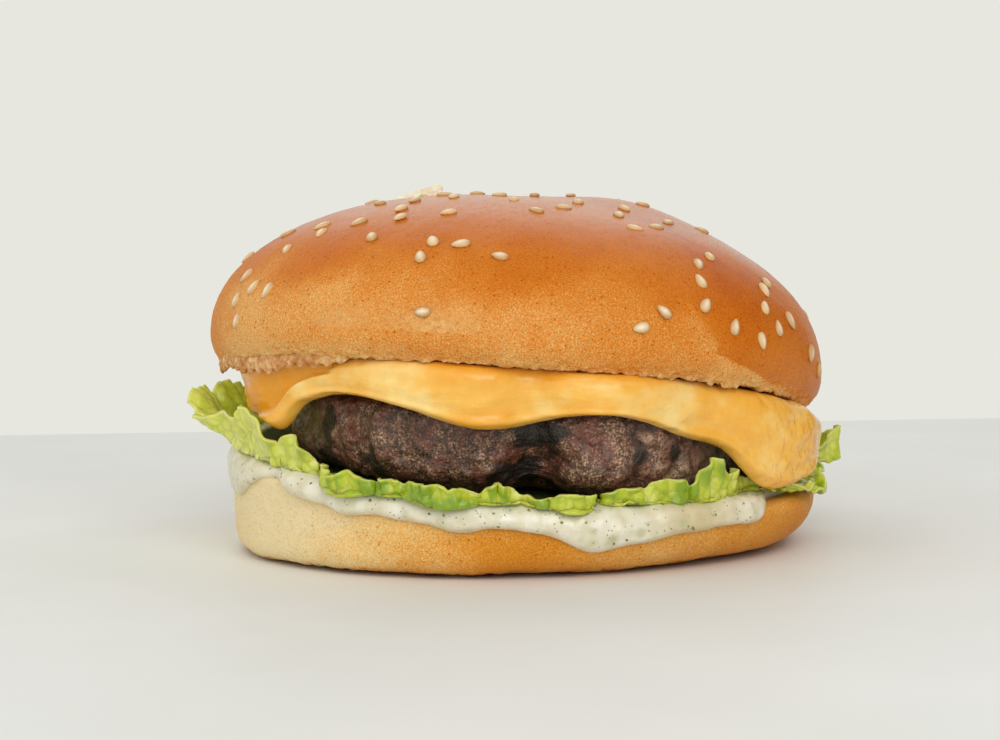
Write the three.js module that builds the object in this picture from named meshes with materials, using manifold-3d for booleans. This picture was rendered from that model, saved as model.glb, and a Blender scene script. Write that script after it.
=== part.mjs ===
// A cheeseburger: a bun heel spread with herb sauce, torn lettuce leaves, a thick hand-formed
// beef patty, a melted slice of cheese that drapes over it, and a sesame bun crown on top.
//
// Millimetres, +Z up. The origin is on the table under the middle of the stack, +X is to the
// right and the front faces -Y. A bearing is an angle round +Z in degrees: 0 points to the
// right (+X), 90 to the back (+Y), 180 to the left and -90 to the front.
import * as THREE from "three";
import { mergeVertices } from "three/addons/utils/BufferGeometryUtils.js";
import Module from "manifold-3d";

const { cos, sin, abs, exp, hypot, max, min, PI } = Math;
const rad = THREE.MathUtils.degToRad;
const smooth = THREE.MathUtils.smoothstep;

// ---- Driving dimensions ---------------------------------------------------------------

const CLEAR = 0.42; // gap left between two pieces that touch

const HEEL = {
  radius: 54.4, // outline of the lower half of the bun
  foot: { mean: 7, swing: 3 }, // height of the roll-under: most at the right, least at the left
  footPower: 2.2, // exponent of the roll-under's curve: 2 is round, more is squarer
  tuck: { mean: 8.5, swing: 5 }, // how far in the roll-under takes the lower edge
  topEdge: 1.6, // rounding of the cut rim
};
// The cut faces of the two bun halves slope and bend: height at the axis, rise per mm of x
// and of y, how much the ends to the left and right of its middle bend up, and a low hill.
const HEEL_CUT = {
  height: 13.6,
  alongX: -0.07,
  alongY: 0.045,
  bend: 1.3,
  middle: 0,
  hill: { x: 0, y: 0, size: 0, spread: 1 },
};
const CROWN_CUT = {
  height: 33.6,
  alongX: -0.122,
  alongY: -0.05,
  bend: -3.34,
  middle: -1.3,
  hill: { x: 46, y: -40, size: 2.9, spread: 34 }, // where the filling pushes the crown up
};
// The patty presses the heel's cut face down: evenly up to a radius, then less and less.
const PRESSED = { depth: 2.4, full: 43, none: 49.8 };

const CROWN = {
  radius: 57.9, // widest outline, at the belly
  depthShare: 0.97, // front to back size against the width
  height: 31.4, // from the cut face to the top
  belly: 5.2, // height of the widest level over the cut
  undercut: 2.6, // how far the rim draws in below the belly
  undercutPower: 2.2, // how late it does so
  fullness: { mean: 2.13, swing: 0.13 }, // exponent of the dome: 2 is round, more is fuller
  swell: { x: 18, y: 0, size: 2.2, spread: 15 }, // where the dome stands a little higher
};
// Where torn crumb hangs below the crown's rim.
const CRUMB_TEARS = [
  { at: 187, size: 2.4, spread: 8 },
  { at: 206, size: 1.0, spread: 12 },
];
// A scrap of skin that stands up from the crust: its middle, length, height and thickness.
const FLAKE = {
  x: -21.5,
  y: 0.5,
  length: 9.5,
  rise: 2.6,
  thickness: 0.7,
  root: 1.2, // how deep it is rooted in the crust
  lean: -0.8, // how far forward its edge leans
};

const PATTY = {
  halfWidth: 43.6,
  halfDepth: 46.5,
  forward: 2, // how far forward its middle lies
  over: 4.2, // exponent of the side's curve in its upper half: 2 is round, more is squarer
  under: 6.5, // the same for the lower half
};

const SAUCE = {
  gap: 0.5, // left over the heel's cut face
  sideGap: 0.7, // left round its rim and beside it
  onTop: 1.0, // thickness on the cut face
  onSide: 0.9, // thickness on the side
  leastDrop: 0.8,
  lip: { share: 0.91, power: 4 }, // how the hanging edge thins out
};
const LEAF = { thickness: 0.8, start: 14, aboveCut: 2.45 };
const CHEESE = {
  gap: 0.5, // left under the crown
  thickness: 2.5,
  drawnIn: 1.0, // how far the hanging edge draws in
  skirt: 3.0, // thickness of the hanging part
  ledge: 4.6, // how far it reaches beyond the patty
  squareness: 5.2, // exponent of the shoulder's curve
  knee: { least: 2.0, share: 0.12 }, // how far the shoulder falls: always, and per mm of drop
};
const SEED = { length: 3.3, width: 2.1, height: 1.1, sunk: 0.18 };

// A bump is { at: bearing, size: mm, spread: degrees }. A drape or an outline is a base
// value plus the bumps round it.
const PATTY_LUMPS = [
  { at: -88, size: -3.4, spread: 7 },
  { at: -70, size: 1.2, spread: 11 },
  { at: -118, size: 1.0, spread: 14 },
  { at: -30, size: -1.6, spread: 12 },
  { at: 35, size: 1.5, spread: 15 },
  { at: 75, size: -1.4, spread: 9 },
  { at: 120, size: 1.3, spread: 14 },
  { at: 165, size: -1.2, spread: 10 },
];
const CHEESE_BASE_DROP = 6;
// How much lower than that its edge hangs.
const CHEESE_DROPS = [
  { at: -153, size: 6.0, spread: 12.5 },
  { at: -146.5, size: 2.4, spread: 3.8 },
  { at: -98, size: 4.7, spread: 15.5 },
  { at: -53, size: 3.8, spread: 12.5 },
  { at: -37, size: 4.7, spread: 7.8 },
  { at: -28, size: 8.1, spread: 13 },
  { at: 58, size: 2.0, spread: 16 },
  { at: 122, size: 2.6, spread: 14 },
];
// Where the shoulder is less square.
const CHEESE_ROUNDER = [{ at: -8, size: -2.4, spread: 26 }];
// Where it flows further out.
const CHEESE_FLOWS = [
  { at: -12, size: 6.4, spread: 20 },
  { at: -30, size: 6, spread: 16 },
  { at: -90, size: 1.0, spread: 34 },
  { at: -160, size: 6.6, spread: 24 },
  { at: 118, size: 2.0, spread: 16 },
];
const SAUCE_BASE_DROP = 0.3; // below the rounded rim
const SAUCE_DROPS = [
  { at: -165, size: 4.6, spread: 12 },
  { at: -121, size: 0.9, spread: 12 },
  { at: -101, size: 1.2, spread: 10 },
  { at: -75.5, size: 4.0, spread: 9 },
  { at: -60, size: 0.8, spread: 10 },
  { at: -45, size: 0.6, spread: 8 },
  { at: 38, size: 2.2, spread: 14 },
  { at: 84, size: 4.4, spread: 11 },
  { at: 132, size: 1.6, spread: 12 },
];
// Where the sauce stops short of the rim, and where its side is thinner, as shares.
const SAUCE_SHORTFALLS = [
  { at: -30, size: 0.09, spread: 8.5 },
  { at: -8, size: 0.13, spread: 14 },
  { at: -147, size: 0.03, spread: 8 },
];
const SAUCE_THIN = [{ at: 178, size: 0.5, spread: 34 }];

// Each leaf, by the bearings at which its lobes meet, from one end to the other.
const LEAVES = {
  lettuce_left: [118, 128, 139, 150, 162, 176, 190, 203, 216, 225.5],
  lettuce_front: [227, 242.5, 248, 262, 269.5, 274, 283.5],
  lettuce_right: [284.5, 293, 302.5, 312.5, 320, 328, 337, 346, 358, 377, 387, 396],
  lettuce_back: [38, 48, 59, 70, 80, 92, 103, 116],
};
// A leaf lies flat as far as the turn-up and then stands as a frill: the radius of the
// turn-up, how far out the frill bulges, how high its edge stands and how far out it leans.
const FRILL = { turnUp: PRESSED.none, bulge: 3.9, top: 2.9, tip: 4.2 };
// How much further out it bulges than that.
const BULGES = [
  { at: -125, size: 3.6, spread: 8 },
  { at: -105, size: 3.4, spread: 10 },
  { at: -81, size: 3.2, spread: 7 },
  { at: -38, size: -4, spread: 7 },
  { at: -22, size: 2.6, spread: 10 },
  { at: 8, size: 4.6, spread: 8 },
  { at: 188, size: 2, spread: 16 },
];
// How far it sags over the rim.
const SAGS = [
  { at: -124, size: 2.1, spread: 7.5 },
  { at: -105, size: 1.6, spread: 9 },
  { at: -81, size: 1.3, spread: 6 },
  { at: -140, size: 0.6, spread: 6 },
  { at: -50, size: 0.8, spread: 8 },
  { at: -20, size: 0.4, spread: 10 },
];
// How much higher its edge stands.
const TOPS = [
  { at: -124, size: -1.7, spread: 7 },
  { at: -105, size: -1.2, spread: 8 },
  { at: -88, size: -1.6, spread: 3.5 },
  { at: -67, size: 1.2, spread: 8 },
  { at: -52, size: 4.4, spread: 5.5 },
  { at: -43, size: 1.4, spread: 3.5 },
  { at: -22, size: -3.9, spread: 13 },
  { at: 7, size: 4.2, spread: 8 },
  { at: 170, size: 5.6, spread: 9 },
  { at: 186, size: 5, spread: 9 },
  { at: 207, size: 6, spread: 9 },
  { at: 221, size: 3.8, spread: 5 },
];
// How much further out its edge leans.
const TIPS = [
  { at: -125, size: 3.4, spread: 8 },
  { at: -105, size: 3.2, spread: 10 },
  { at: -81, size: 3, spread: 7 },
  { at: -38, size: -4.4, spread: 7 },
  { at: -20, size: 4, spread: 12 },
  { at: 9, size: 8, spread: 10 },
  { at: 172, size: 4.4, spread: 10 },
  { at: 188, size: 8.4, spread: 11 },
  { at: 209, size: 3.4, spread: 8 },
];
// Where a leaf lies lower, as there is no sauce under it.
const DIPS = [{ at: -26, size: 0.5, spread: 14 }];
const LOBE = {
  roundness: 0.45, // exponent of a lobe's outline: less is rounder
  middle: 0.6, // the mean height of that outline
  bulge: 0.9, // how far a lobe swells out
  tip: 1.3, // how far its edge leans out
  sagShare: 0.6, // share of the sag that the notches between lobes don't have
  topShare: 0.42, // share of the height that they don't have
  endShare: 0.5, // share of the frill that the ends of a leaf don't have
};
const FRILL_RISE = 1.2; // exponent of the frill's rise from its bulge to its edge
const DIP_RANGE = [49.5, 53]; // radii between which a leaf dips
const LEAF_INSET = 0.6; // gap left at each end of a leaf

const COLOURS = {
  crust: 0xc9803a,
  heel: 0xd9a35c,
  sauce: 0xe4e6d6,
  leaf: 0x9dbb3c,
  beef: 0x4f3a33,
  cheese: 0xf3ab3a,
};

// ---- Small helpers ----------------------------------------------------------------------

/** A round hill: its size at its middle, fading with the square of the distance. */
const hillAt = ({ x, y, size, spread }, atX, atY) =>
  size * exp(-((atX - x) ** 2 + (atY - y) ** 2) / spread ** 2);

/** How far a cut face is bent up at a distance beside its middle and a distance back. */
const bendAt = (cut, beside, y) =>
  cut.bend * (beside / HEEL.radius) ** 2 + hillAt(cut.hill, beside, y);

/** Height of a cut face at the point (x, y). */
const cutAt = (cut, x, y) =>
  cut.height + cut.alongX * x + cut.alongY * y + bendAt(cut, x - cut.middle, y);

/** Height of the heel's cut face, pressed down under the patty. */
const heelTop = (x, y) => {
  const share = (PRESSED.none - hypot(x, y)) / (PRESSED.none - PRESSED.full);
  return cutAt(HEEL_CUT, x, y) - PRESSED.depth * THREE.MathUtils.clamp(share, 0, 1);
};

/** Signed difference of two bearings, from -180 to 180. */
const turnBetween = (a, b) => ((((a - b) % 360) + 540) % 360) - 180;

/** Sum of smooth bumps at a bearing. */
const bumpsAt = (bumps, bearing) =>
  bumps.reduce((sum, b) => sum + b.size * exp(-((turnBetween(bearing, b.at) / b.spread) ** 2)), 0);

/** A gentle unevenness of an outline, from about -1 to 1, closed round the turn. */
const uneven = (bearing, phase) => {
  const a = rad(bearing);
  return 0.5 * cos(2 * a + phase) + 0.3 * cos(3 * a + 1.7 * phase) + 0.2 * cos(5 * a + 2.9 * phase);
};

/** A repeatable stream of numbers from 0 to 1. */
const randomFrom = (start) => {
  let state = start;
  return () => {
    state = (state * 16807) % 2147483647;
    return state / 2147483647;
  };
};

/** A closed surface turned round the axis: stations 0 and last are single points. */
const turned = (columns, stations, pointAt) => {
  const vertices = [];
  const faces = [];
  const add = (p) => vertices.push(p.x, p.y, p.z) / 3 - 1;
  const ring = (k) =>
    Array.from({ length: columns }, (_, i) => add(pointAt((360 * i) / columns, k)));
  const first = add(pointAt(0, 0));
  const rings = Array.from({ length: stations - 1 }, (_, k) => ring(k + 1));
  const last = add(pointAt(0, stations));
  for (let i = 0; i < columns; i++) {
    const j = (i + 1) % columns;
    faces.push(first, rings[0][j], rings[0][i]);
    for (let k = 0; k < rings.length - 1; k++) {
      const [a, b] = [rings[k], rings[k + 1]];
      faces.push(a[i], a[j], b[j], a[i], b[j], b[i]);
    }
    faces.push(last, rings.at(-1)[i], rings.at(-1)[j]);
  }
  return indexed(vertices, faces);
};

/** A thin sheet of even thickness over a grid of points; both faces are split alike. */
const sheet = (columns, rows, thickness, pointAt) => {
  const vertices = [];
  const faces = [];
  const nearby = 1e-3;
  const middle = (u, v) => pointAt(u, v);
  const normal = (u, v) => {
    const alongU = middle(min(u + nearby, 1), v).sub(middle(max(u - nearby, 0), v));
    const alongV = middle(u, min(v + nearby, 1)).sub(middle(u, max(v - nearby, 0)));
    return alongV.cross(alongU).normalize();
  };
  for (const side of [1, -1])
    for (let i = 0; i <= columns; i++)
      for (const v of rows) {
        const u = i / columns;
        const p = middle(u, v).addScaledVector(normal(u, v), (side * thickness) / 2);
        vertices.push(p.x, p.y, p.z);
      }
  const wide = rows.length;
  const under = (columns + 1) * wide;
  const at = (i, k) => i * wide + k;
  for (let i = 0; i < columns; i++)
    for (let k = 0; k < wide - 1; k++) {
      const [a, b, c, d] = [at(i, k), at(i + 1, k), at(i + 1, k + 1), at(i, k + 1)];
      faces.push(a, c, b, a, d, c);
      faces.push(a + under, b + under, c + under, a + under, c + under, d + under);
    }
  const wall = (a, b) => faces.push(a, b, b + under, a, b + under, a + under);
  for (let i = 0; i < columns; i++) {
    wall(at(i, 0), at(i + 1, 0));
    wall(at(i + 1, wide - 1), at(i, wide - 1));
  }
  for (let k = 0; k < wide - 1; k++) {
    wall(at(0, k + 1), at(0, k));
    wall(at(columns, k), at(columns, k + 1));
  }
  return indexed(vertices, faces);
};

const indexed = (vertices, faces) => {
  const geometry = new THREE.BufferGeometry();
  geometry.setAttribute("position", new THREE.Float32BufferAttribute(vertices, 3));
  geometry.setIndex(faces);
  geometry.computeVertexNormals();
  return geometry;
};

/** A point at a bearing and distance from the axis. */
const polar = (bearing, radius, z) =>
  new THREE.Vector3(radius * cos(rad(bearing)), radius * sin(rad(bearing)), z);

const mesh = (name, geometry, colour, roughness) => {
  const made = new THREE.Mesh(
    geometry,
    new THREE.MeshStandardMaterial({ color: colour, roughness, metalness: 0 }),
  );
  made.name = name;
  return made;
};

// ---- Bun heel ---------------------------------------------------------------------------

const heelRadius = (bearing) => HEEL.radius + 0.7 * uneven(bearing, 0.8);

/** Height of the cut face where the heel's outline is, at a bearing. */
const heelRim = (bearing) => {
  const p = polar(bearing, heelRadius(bearing), 0);
  return heelTop(p.x, p.y);
};

/** Height up to which the heel's side rolls under, always below the rounded rim. */
const heelFoot = (bearing) =>
  min(HEEL.foot.mean + HEEL.foot.swing * cos(rad(bearing)), heelRim(bearing) - HEEL.topEdge);
const heelTuck = (bearing) => HEEL.tuck.mean + HEEL.tuck.swing * cos(rad(bearing));

/** Radius of the heel's side at a height: a quarter-round foot, then almost upright. */
const heelSide = (bearing, z) => {
  const under = max(0, 1 - max(z, 0) / heelFoot(bearing));
  const inward = 1 - (1 - under ** HEEL.footPower) ** (1 / HEEL.footPower);
  return heelRadius(bearing) - heelTuck(bearing) * inward;
};

/**
 * A point of the heel's upper skin and the way out of it, by the distance walked from the
 * axis: over the cut face, round the rim and down the side.
 */
const overHeel = (bearing, walked) => {
  const flat = heelRadius(bearing) - HEEL.topEdge;
  const round = (PI / 2) * HEEL.topEdge;
  const edge = heelRim(bearing) - HEEL.topEdge;
  if (walked <= flat) {
    const p = polar(bearing, walked, 0);
    return { r: walked, z: heelTop(p.x, p.y), outward: 0, upward: 1 };
  }
  const angle = min((walked - flat) / HEEL.topEdge, PI / 2);
  const fallen = max(0, walked - flat - round);
  const z = edge + HEEL.topEdge * cos(angle) - fallen;
  const side = heelSide(bearing, z) - heelRadius(bearing);
  return {
    r: flat + HEEL.topEdge * sin(angle) + (fallen > 0 ? side : 0),
    z,
    outward: sin(angle),
    upward: cos(angle),
  };
};

const HEEL_COLUMNS = 56; // the sauce has the same, so that it follows the heel evenly

const makeHeel = () => {
  const onFoot = (share) => (bearing) => {
    const z = share * heelFoot(bearing);
    return polar(bearing, heelSide(bearing, z), z);
  };
  const onRim = (turn) => (bearing) => {
    const skin = overHeel(bearing, heelRadius(bearing) - HEEL.topEdge * (1 - rad(turn)));
    return polar(bearing, skin.r, skin.z);
  };
  const onCut = (radius) => (bearing) => {
    const skin = overHeel(bearing, radius);
    return polar(bearing, skin.r, skin.z);
  };
  const rings = [
    ...[0, 0.08, 0.26, 0.52, 0.8].map(onFoot),
    ...[90, 45, 0].map(onRim),
    ...[PRESSED.none, PRESSED.full, 22].map(onCut),
  ];
  const last = rings.length + 1;
  return turned(HEEL_COLUMNS, last, (bearing, k) => {
    if (k === 0) return polar(0, 0, 0);
    return k === last ? polar(0, 0, heelTop(0, 0)) : rings[k - 1](bearing);
  });
};

// ---- Herb sauce: a spread that hangs over the rim ----------------------------------------

const sauceDrop = (bearing) =>
  max(SAUCE.leastDrop, SAUCE_BASE_DROP + bumpsAt(SAUCE_DROPS, bearing));

/**
 * How far along the heel's skin each ring of the sauce lies, walked from the axis: over the
 * cut face, round the rim, then down the side to the hanging edge.
 */
const SAUCE_RINGS = [
  { radius: 22 },
  { radius: PRESSED.full },
  { radius: PRESSED.none },
  { rim: 0.33 },
  { rim: 0.66 },
  { rim: 1 },
  { side: 0.5 },
  { side: 0.84 },
  { side: 1 },
];
const SAUCE_RING_GAP = 0.3; // least distance between rings where the sauce stops short

/** Where ring k lies; where the sauce stops short, its last rings crowd at the edge. */
const sauceWalk = (bearing, k) => {
  const flat = heelRadius(bearing) - HEEL.topEdge;
  const round = (PI / 2) * HEEL.topEdge;
  const { radius, rim, side } = SAUCE_RINGS[k];
  const onSkin = radius ?? flat + (rim ?? 1) * round + (side ?? 0) * sauceDrop(bearing);
  const whole = flat + round + sauceDrop(bearing);
  const edge = whole * (1 - bumpsAt(SAUCE_SHORTFALLS, bearing));
  return min(onSkin, edge - SAUCE_RING_GAP * (SAUCE_RINGS.length - 1 - k));
};

const saucePoint = (bearing, walked, lift) => {
  const skin = overHeel(bearing, walked);
  return polar(bearing, skin.r + lift * skin.outward, skin.z + lift * skin.upward);
};

const makeSauce = () => {
  const count = SAUCE_RINGS.length;
  const stations = 2 * count + 1;
  return turned(HEEL_COLUMNS, stations, (bearing, station) => {
    if (station === 0) return saucePoint(0, 0, SAUCE.gap);
    if (station === stations) return saucePoint(0, 0, SAUCE.gap + SAUCE.onTop);
    const k = station <= count ? station - 1 : stations - 1 - station;
    const walked = sauceWalk(bearing, k);
    const { radius, side } = SAUCE_RINGS[k];
    const gap = radius ? SAUCE.gap : SAUCE.sideGap;
    if (station <= count) return saucePoint(bearing, walked, gap);
    const lip = (1 - SAUCE.lip.share * (side ?? 0) ** SAUCE.lip.power) ** 0.5;
    const body = radius ? SAUCE.onTop : SAUCE.onSide * (1 - bumpsAt(SAUCE_THIN, bearing));
    return saucePoint(bearing, walked, gap + body * lip);
  });
};

// ---- Lettuce ----------------------------------------------------------------------------

/** 1 where the sauce reaches the rim and 0 where it stops short of it. */
const sauceThere = (bearing) => 1 - smooth(bumpsAt(SAUCE_SHORTFALLS, bearing), 0.07, 0.1);

/** Lowest height at which a leaf clears the sauce: over its flat part and its rounded rim. */
const overSauce = (bearing, radius) => {
  const flat = heelRadius(bearing) - HEEL.topEdge;
  const round = HEEL.topEdge + (SAUCE.sideGap + SAUCE.onSide) * sauceThere(bearing);
  const out = max(0, radius - flat);
  if (out >= round) return 0;
  const p = polar(bearing, radius, 0);
  const clear = 1.4 * CLEAR + LEAF.thickness / 2;
  return heelTop(p.x, p.y) - HEEL.topEdge + (round ** 2 - out ** 2) ** 0.5 + clear;
};

/** How far into its lobe a bearing is: 0 at the notches and 1 in the middle. */
const lobeAt = (notches, bearing) => {
  const k = notches.findIndex((notch) => notch > bearing);
  if (k < 1) return 0;
  const share = (bearing - notches[k - 1]) / (notches[k] - notches[k - 1]);
  return sin(PI * share) ** LOBE.roundness;
};

const TURN_UP_ROW = 0.4; // how far across a leaf, from its inner edge, its turn-up is

/**
 * A leaf: flat as far as the turn-up, then over a quarter of an ellipse out and down to the
 * bulge of its frill, and from there up to the edge. u runs along the leaf, v across it.
 */
const leafPoint = (notches, u, v) => {
  const [first, last] = [notches[0], notches.at(-1)];
  const across = 2 * u - 1;
  const flatRadius = THREE.MathUtils.lerp(LEAF.start, FRILL.turnUp, min(1, v / TURN_UP_ROW));
  const inset = THREE.MathUtils.radToDeg(LEAF_INSET / flatRadius);
  const bearing = (first + last) / 2 + ((last - first) / 2 - inset) * across;
  const lobe = lobeAt(notches, bearing);
  const ends = 1 - LOBE.endShare * abs(across) ** 9;
  const notch = 1 - lobe;
  const swell = lobe - LOBE.middle;
  const bulge = (FRILL.bulge + bumpsAt(BULGES, bearing)) * ends + LOBE.bulge * swell;
  const sag = bumpsAt(SAGS, bearing) * (1 - LOBE.sagShare * notch);
  const top = (FRILL.top + bumpsAt(TOPS, bearing)) * (1 - LOBE.topShare * notch) * ends;
  const tip = (FRILL.tip + bumpsAt(TIPS, bearing)) * ends + LOBE.tip * swell;
  const share = max(0, (v - TURN_UP_ROW) / (1 - TURN_UP_ROW));
  const quarter = min(share, 0.5) * PI;
  const upward = max(0, 2 * share - 1);
  const radius = flatRadius + bulge * sin(quarter) + (tip - bulge) * upward ** 2;
  const height = -sag * (1 - cos(quarter)) + (top + sag) * upward ** FRILL_RISE;
  const base = polar(bearing, radius, 0);
  const dip = bumpsAt(DIPS, bearing) * smooth(radius, ...DIP_RANGE);
  const level = heelTop(base.x, base.y) + LEAF.aboveCut + height - dip;
  base.z = max(level, overSauce(bearing, radius));
  return base;
};

const makeLeaf = (notches) => {
  const degreesPerColumn = 2.7;
  const columns = Math.round((notches.at(-1) - notches[0]) / degreesPerColumn);
  const pressedShare = (PRESSED.full - LEAF.start) / (PRESSED.none - LEAF.start);
  const rows = [0, pressedShare * TURN_UP_ROW, TURN_UP_ROW, 0.57, 0.7, 1];
  return sheet(columns, rows, LEAF.thickness, (u, v) => leafPoint(notches, u, v));
};

// ---- Beef patty ---------------------------------------------------------------------------

const pattyRadius = (bearing) => {
  const a = rad(bearing);
  const oval = 1 / hypot(cos(a) / PATTY.halfWidth, sin(a) / PATTY.halfDepth);
  return oval + bumpsAt(PATTY_LUMPS, bearing) + 0.5 * uneven(bearing, 2.1);
};
const pattyUnder = (x, y) =>
  heelTop(x, y) + LEAF.aboveCut + LEAF.thickness / 2 + 1.4 * CLEAR;
const pattyOver = (x, y) => cutAt(CROWN_CUT, x, y) - CHEESE.thickness - 2.4 * CLEAR;

/** From the underside (rise -1) round the side to the top (rise 1). */
const pattyPoint = (bearing, rise) => {
  const power = rise > 0 ? PATTY.over : PATTY.under;
  const inward = (1 - abs(rise) ** power) ** (1 / power);
  const p = polar(bearing, pattyRadius(bearing) * inward, 0);
  p.y -= PATTY.forward;
  const [low, high] = [pattyUnder(p.x, p.y), pattyOver(p.x, p.y)];
  const lump = 0.5 * (1 - rise ** 2) * uneven(bearing * 3, rise * 4);
  p.z = (low + high) / 2 + (rise * (high - low)) / 2 + lump;
  return p;
};

const makePatty = () => {
  const rises = [-1, -0.99, -0.94, -0.8, -0.5, -0.1, 0.3, 0.6, 0.84, 0.95, 0.99, 1];
  return turned(60, rises.length - 1, (bearing, k) => pattyPoint(bearing, rises[k]));
};

// ---- Cheese slice ---------------------------------------------------------------------------

const cheeseDrop = (bearing) => CHEESE_BASE_DROP + bumpsAt(CHEESE_DROPS, bearing);
const cheeseReach = (bearing) =>
  pattyRadius(bearing) + CHEESE.ledge + bumpsAt(CHEESE_FLOWS, bearing);

/**
 * The melted slice: share 0 to 1 runs from the middle over the shoulder to the knee, and
 * 1 to 2 down the hanging skirt. inset 0 is the outer face and 1 the inner face.
 */
const cheesePoint = (bearing, share, inset) => {
  const drop = cheeseDrop(bearing);
  const knee = CHEESE.knee.least + CHEESE.knee.share * drop;
  const turn = min(share, 1) * (PI / 2);
  const power = 2 / (CHEESE.squareness + bumpsAt(CHEESE_ROUNDER, bearing));
  const hung = max(0, share - 1);
  const thick = THREE.MathUtils.lerp(CHEESE.thickness, CHEESE.skirt, smooth(share, 0.6, 1));
  const reach = cheeseReach(bearing) - inset * thick * smooth(share, 0.3, 0.9);
  const radius = reach * max(0, sin(turn)) ** power - CHEESE.drawnIn * hung ** 2;
  const p = polar(bearing, radius, 0);
  p.y -= PATTY.forward;
  const fall = knee * (1 - max(0, cos(turn)) ** power) + (drop - knee) * hung;
  const under = inset * thick * (1 - smooth(share, 0.75, 1));
  p.z = cutAt(CROWN_CUT, p.x, p.y) - CHEESE.gap - fall - under;
  return p;
};

const makeCheese = () => {
  const shares = [0.12, 0.4, 0.66, 0.84, 1, 1.35, 1.75];
  const lip = [0.12, 0.5, 0.88];
  const stations = 2 * shares.length + lip.length + 1;
  return turned(60, stations, (bearing, k) => {
    if (k === 0) return cheesePoint(0, 0, 1);
    if (k === stations) return cheesePoint(0, 0, 0);
    if (k <= shares.length) return cheesePoint(bearing, shares[k - 1], 1);
    const onLip = k - shares.length - 1;
    if (onLip < lip.length) {
      const inset = 1 - lip[onLip];
      return cheesePoint(bearing, 1.9 + 0.1 * sin(PI * inset), inset);
    }
    return cheesePoint(bearing, shares[stations - 1 - k], 0);
  });
};

// ---- Bun crown, in its own frame: the cut face is z = 0 --------------------------------------

const crownRadius = (bearing) => {
  const a = rad(bearing);
  return CROWN.radius / hypot(cos(a), sin(a) / CROWN.depthShare) + 0.5 * uneven(bearing, 1.3);
};

/** A point of the crown's crust: rise 0 is the belly and 1 the top. */
const crustPoint = (bearing, rise) => {
  const fullness = CROWN.fullness.mean + CROWN.fullness.swing * cos(rad(bearing));
  const turn = rise * (PI / 2);
  const radius = crownRadius(bearing) * max(0, cos(turn)) ** (2 / fullness);
  const p = polar(bearing, radius, 0);
  const up = CROWN.belly + (CROWN.height - CROWN.belly) * sin(turn) ** (2 / fullness);
  p.z = up + bendAt(CROWN_CUT, p.x, p.y) * (1 - rise) + hillAt(CROWN.swell, p.x, p.y);
  return p;
};

/** Below the belly the crust draws in to the cut rim: fall 0 is the belly and 1 the rim. */
const rimPoint = (bearing, fall) => {
  const drawn = CROWN.undercut * fall ** CROWN.undercutPower;
  const p = polar(bearing, crownRadius(bearing) - drawn, 0);
  const torn = bumpsAt(CRUMB_TEARS, bearing) * fall;
  p.z = CROWN.belly * (1 - fall) + bendAt(CROWN_CUT, p.x, p.y) - torn;
  return p;
};

/** A point of the crown's cut face: share 0 is the middle and 1 the rim. */
const crumbPoint = (bearing, share) => {
  const p = rimPoint(bearing, 1).multiplyScalar(share);
  p.z = bendAt(CROWN_CUT, p.x, p.y);
  return p;
};

const crownShell = () => {
  const shares = [0.4, 0.75, 0.965];
  const falls = [1, 0.6];
  const rises = [0, 0.12, 0.24, 0.36, 0.48, 0.6, 0.72, 0.84, 0.94];
  const rings = [
    ...shares.map((share) => (bearing) => crumbPoint(bearing, share)),
    ...falls.map((fall) => (bearing) => rimPoint(bearing, fall)),
    ...rises.map((rise) => (bearing) => crustPoint(bearing, rise)),
  ];
  const last = rings.length + 1;
  return turned(56, last, (bearing, k) => {
    if (k === 0) return new THREE.Vector3(0, 0, 0);
    return k === last ? crustPoint(0, 1) : rings[k - 1](bearing);
  });
};

/** Rise at which the crust lies above a distance from the axis, found by halving. */
const riseAt = (bearing, radius) => {
  let [low, high] = [0, 1];
  for (let i = 0; i < 24; i++) {
    const middle = (low + high) / 2;
    const p = crustPoint(bearing, middle);
    if (hypot(p.x, p.y) > radius) low = middle;
    else high = middle;
  }
  return low;
};

/** The scrap of skin: rooted in the crust along its length, curling up to a ragged edge. */
const flakeGeometry = () =>
  sheet(8, [0, 0.5, 1], FLAKE.thickness, (u, v) => {
    const x = FLAKE.x + (u - 0.5) * FLAKE.length;
    const bearing = THREE.MathUtils.radToDeg(Math.atan2(FLAKE.y, x));
    const foot = crustPoint(bearing, riseAt(bearing, hypot(x, FLAKE.y)));
    const ragged = FLAKE.rise * (0.15 + 0.85 * u) * (1 - smooth(u, 0.9, 1.05));
    foot.y -= FLAKE.lean * v;
    foot.z += -FLAKE.root + v * (FLAKE.root + ragged);
    return foot;
  });

// ---- Sesame seeds -----------------------------------------------------------------------------

/** A teardrop seed lying along x, with its round end at +x. */
const seedGeometry = () => {
  const rings = [-0.55, 0.15, 0.75];
  const columns = 4;
  const geometry = turned(columns, rings.length + 1, (bearing, k) => {
    const along = k === 0 ? -1 : k > rings.length ? 1 : rings[k - 1];
    const girth = k === 0 || k > rings.length ? 0 : (1 - along ** 2) ** 0.5 * (1 + 0.28 * along);
    const a = rad(bearing);
    return new THREE.Vector3(
      (girth * sin(a) * SEED.height) / 2,
      (girth * cos(a) * SEED.width) / 2,
      (-along * SEED.length) / 2,
    );
  });
  return geometry.rotateY(-PI / 2);
};

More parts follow.
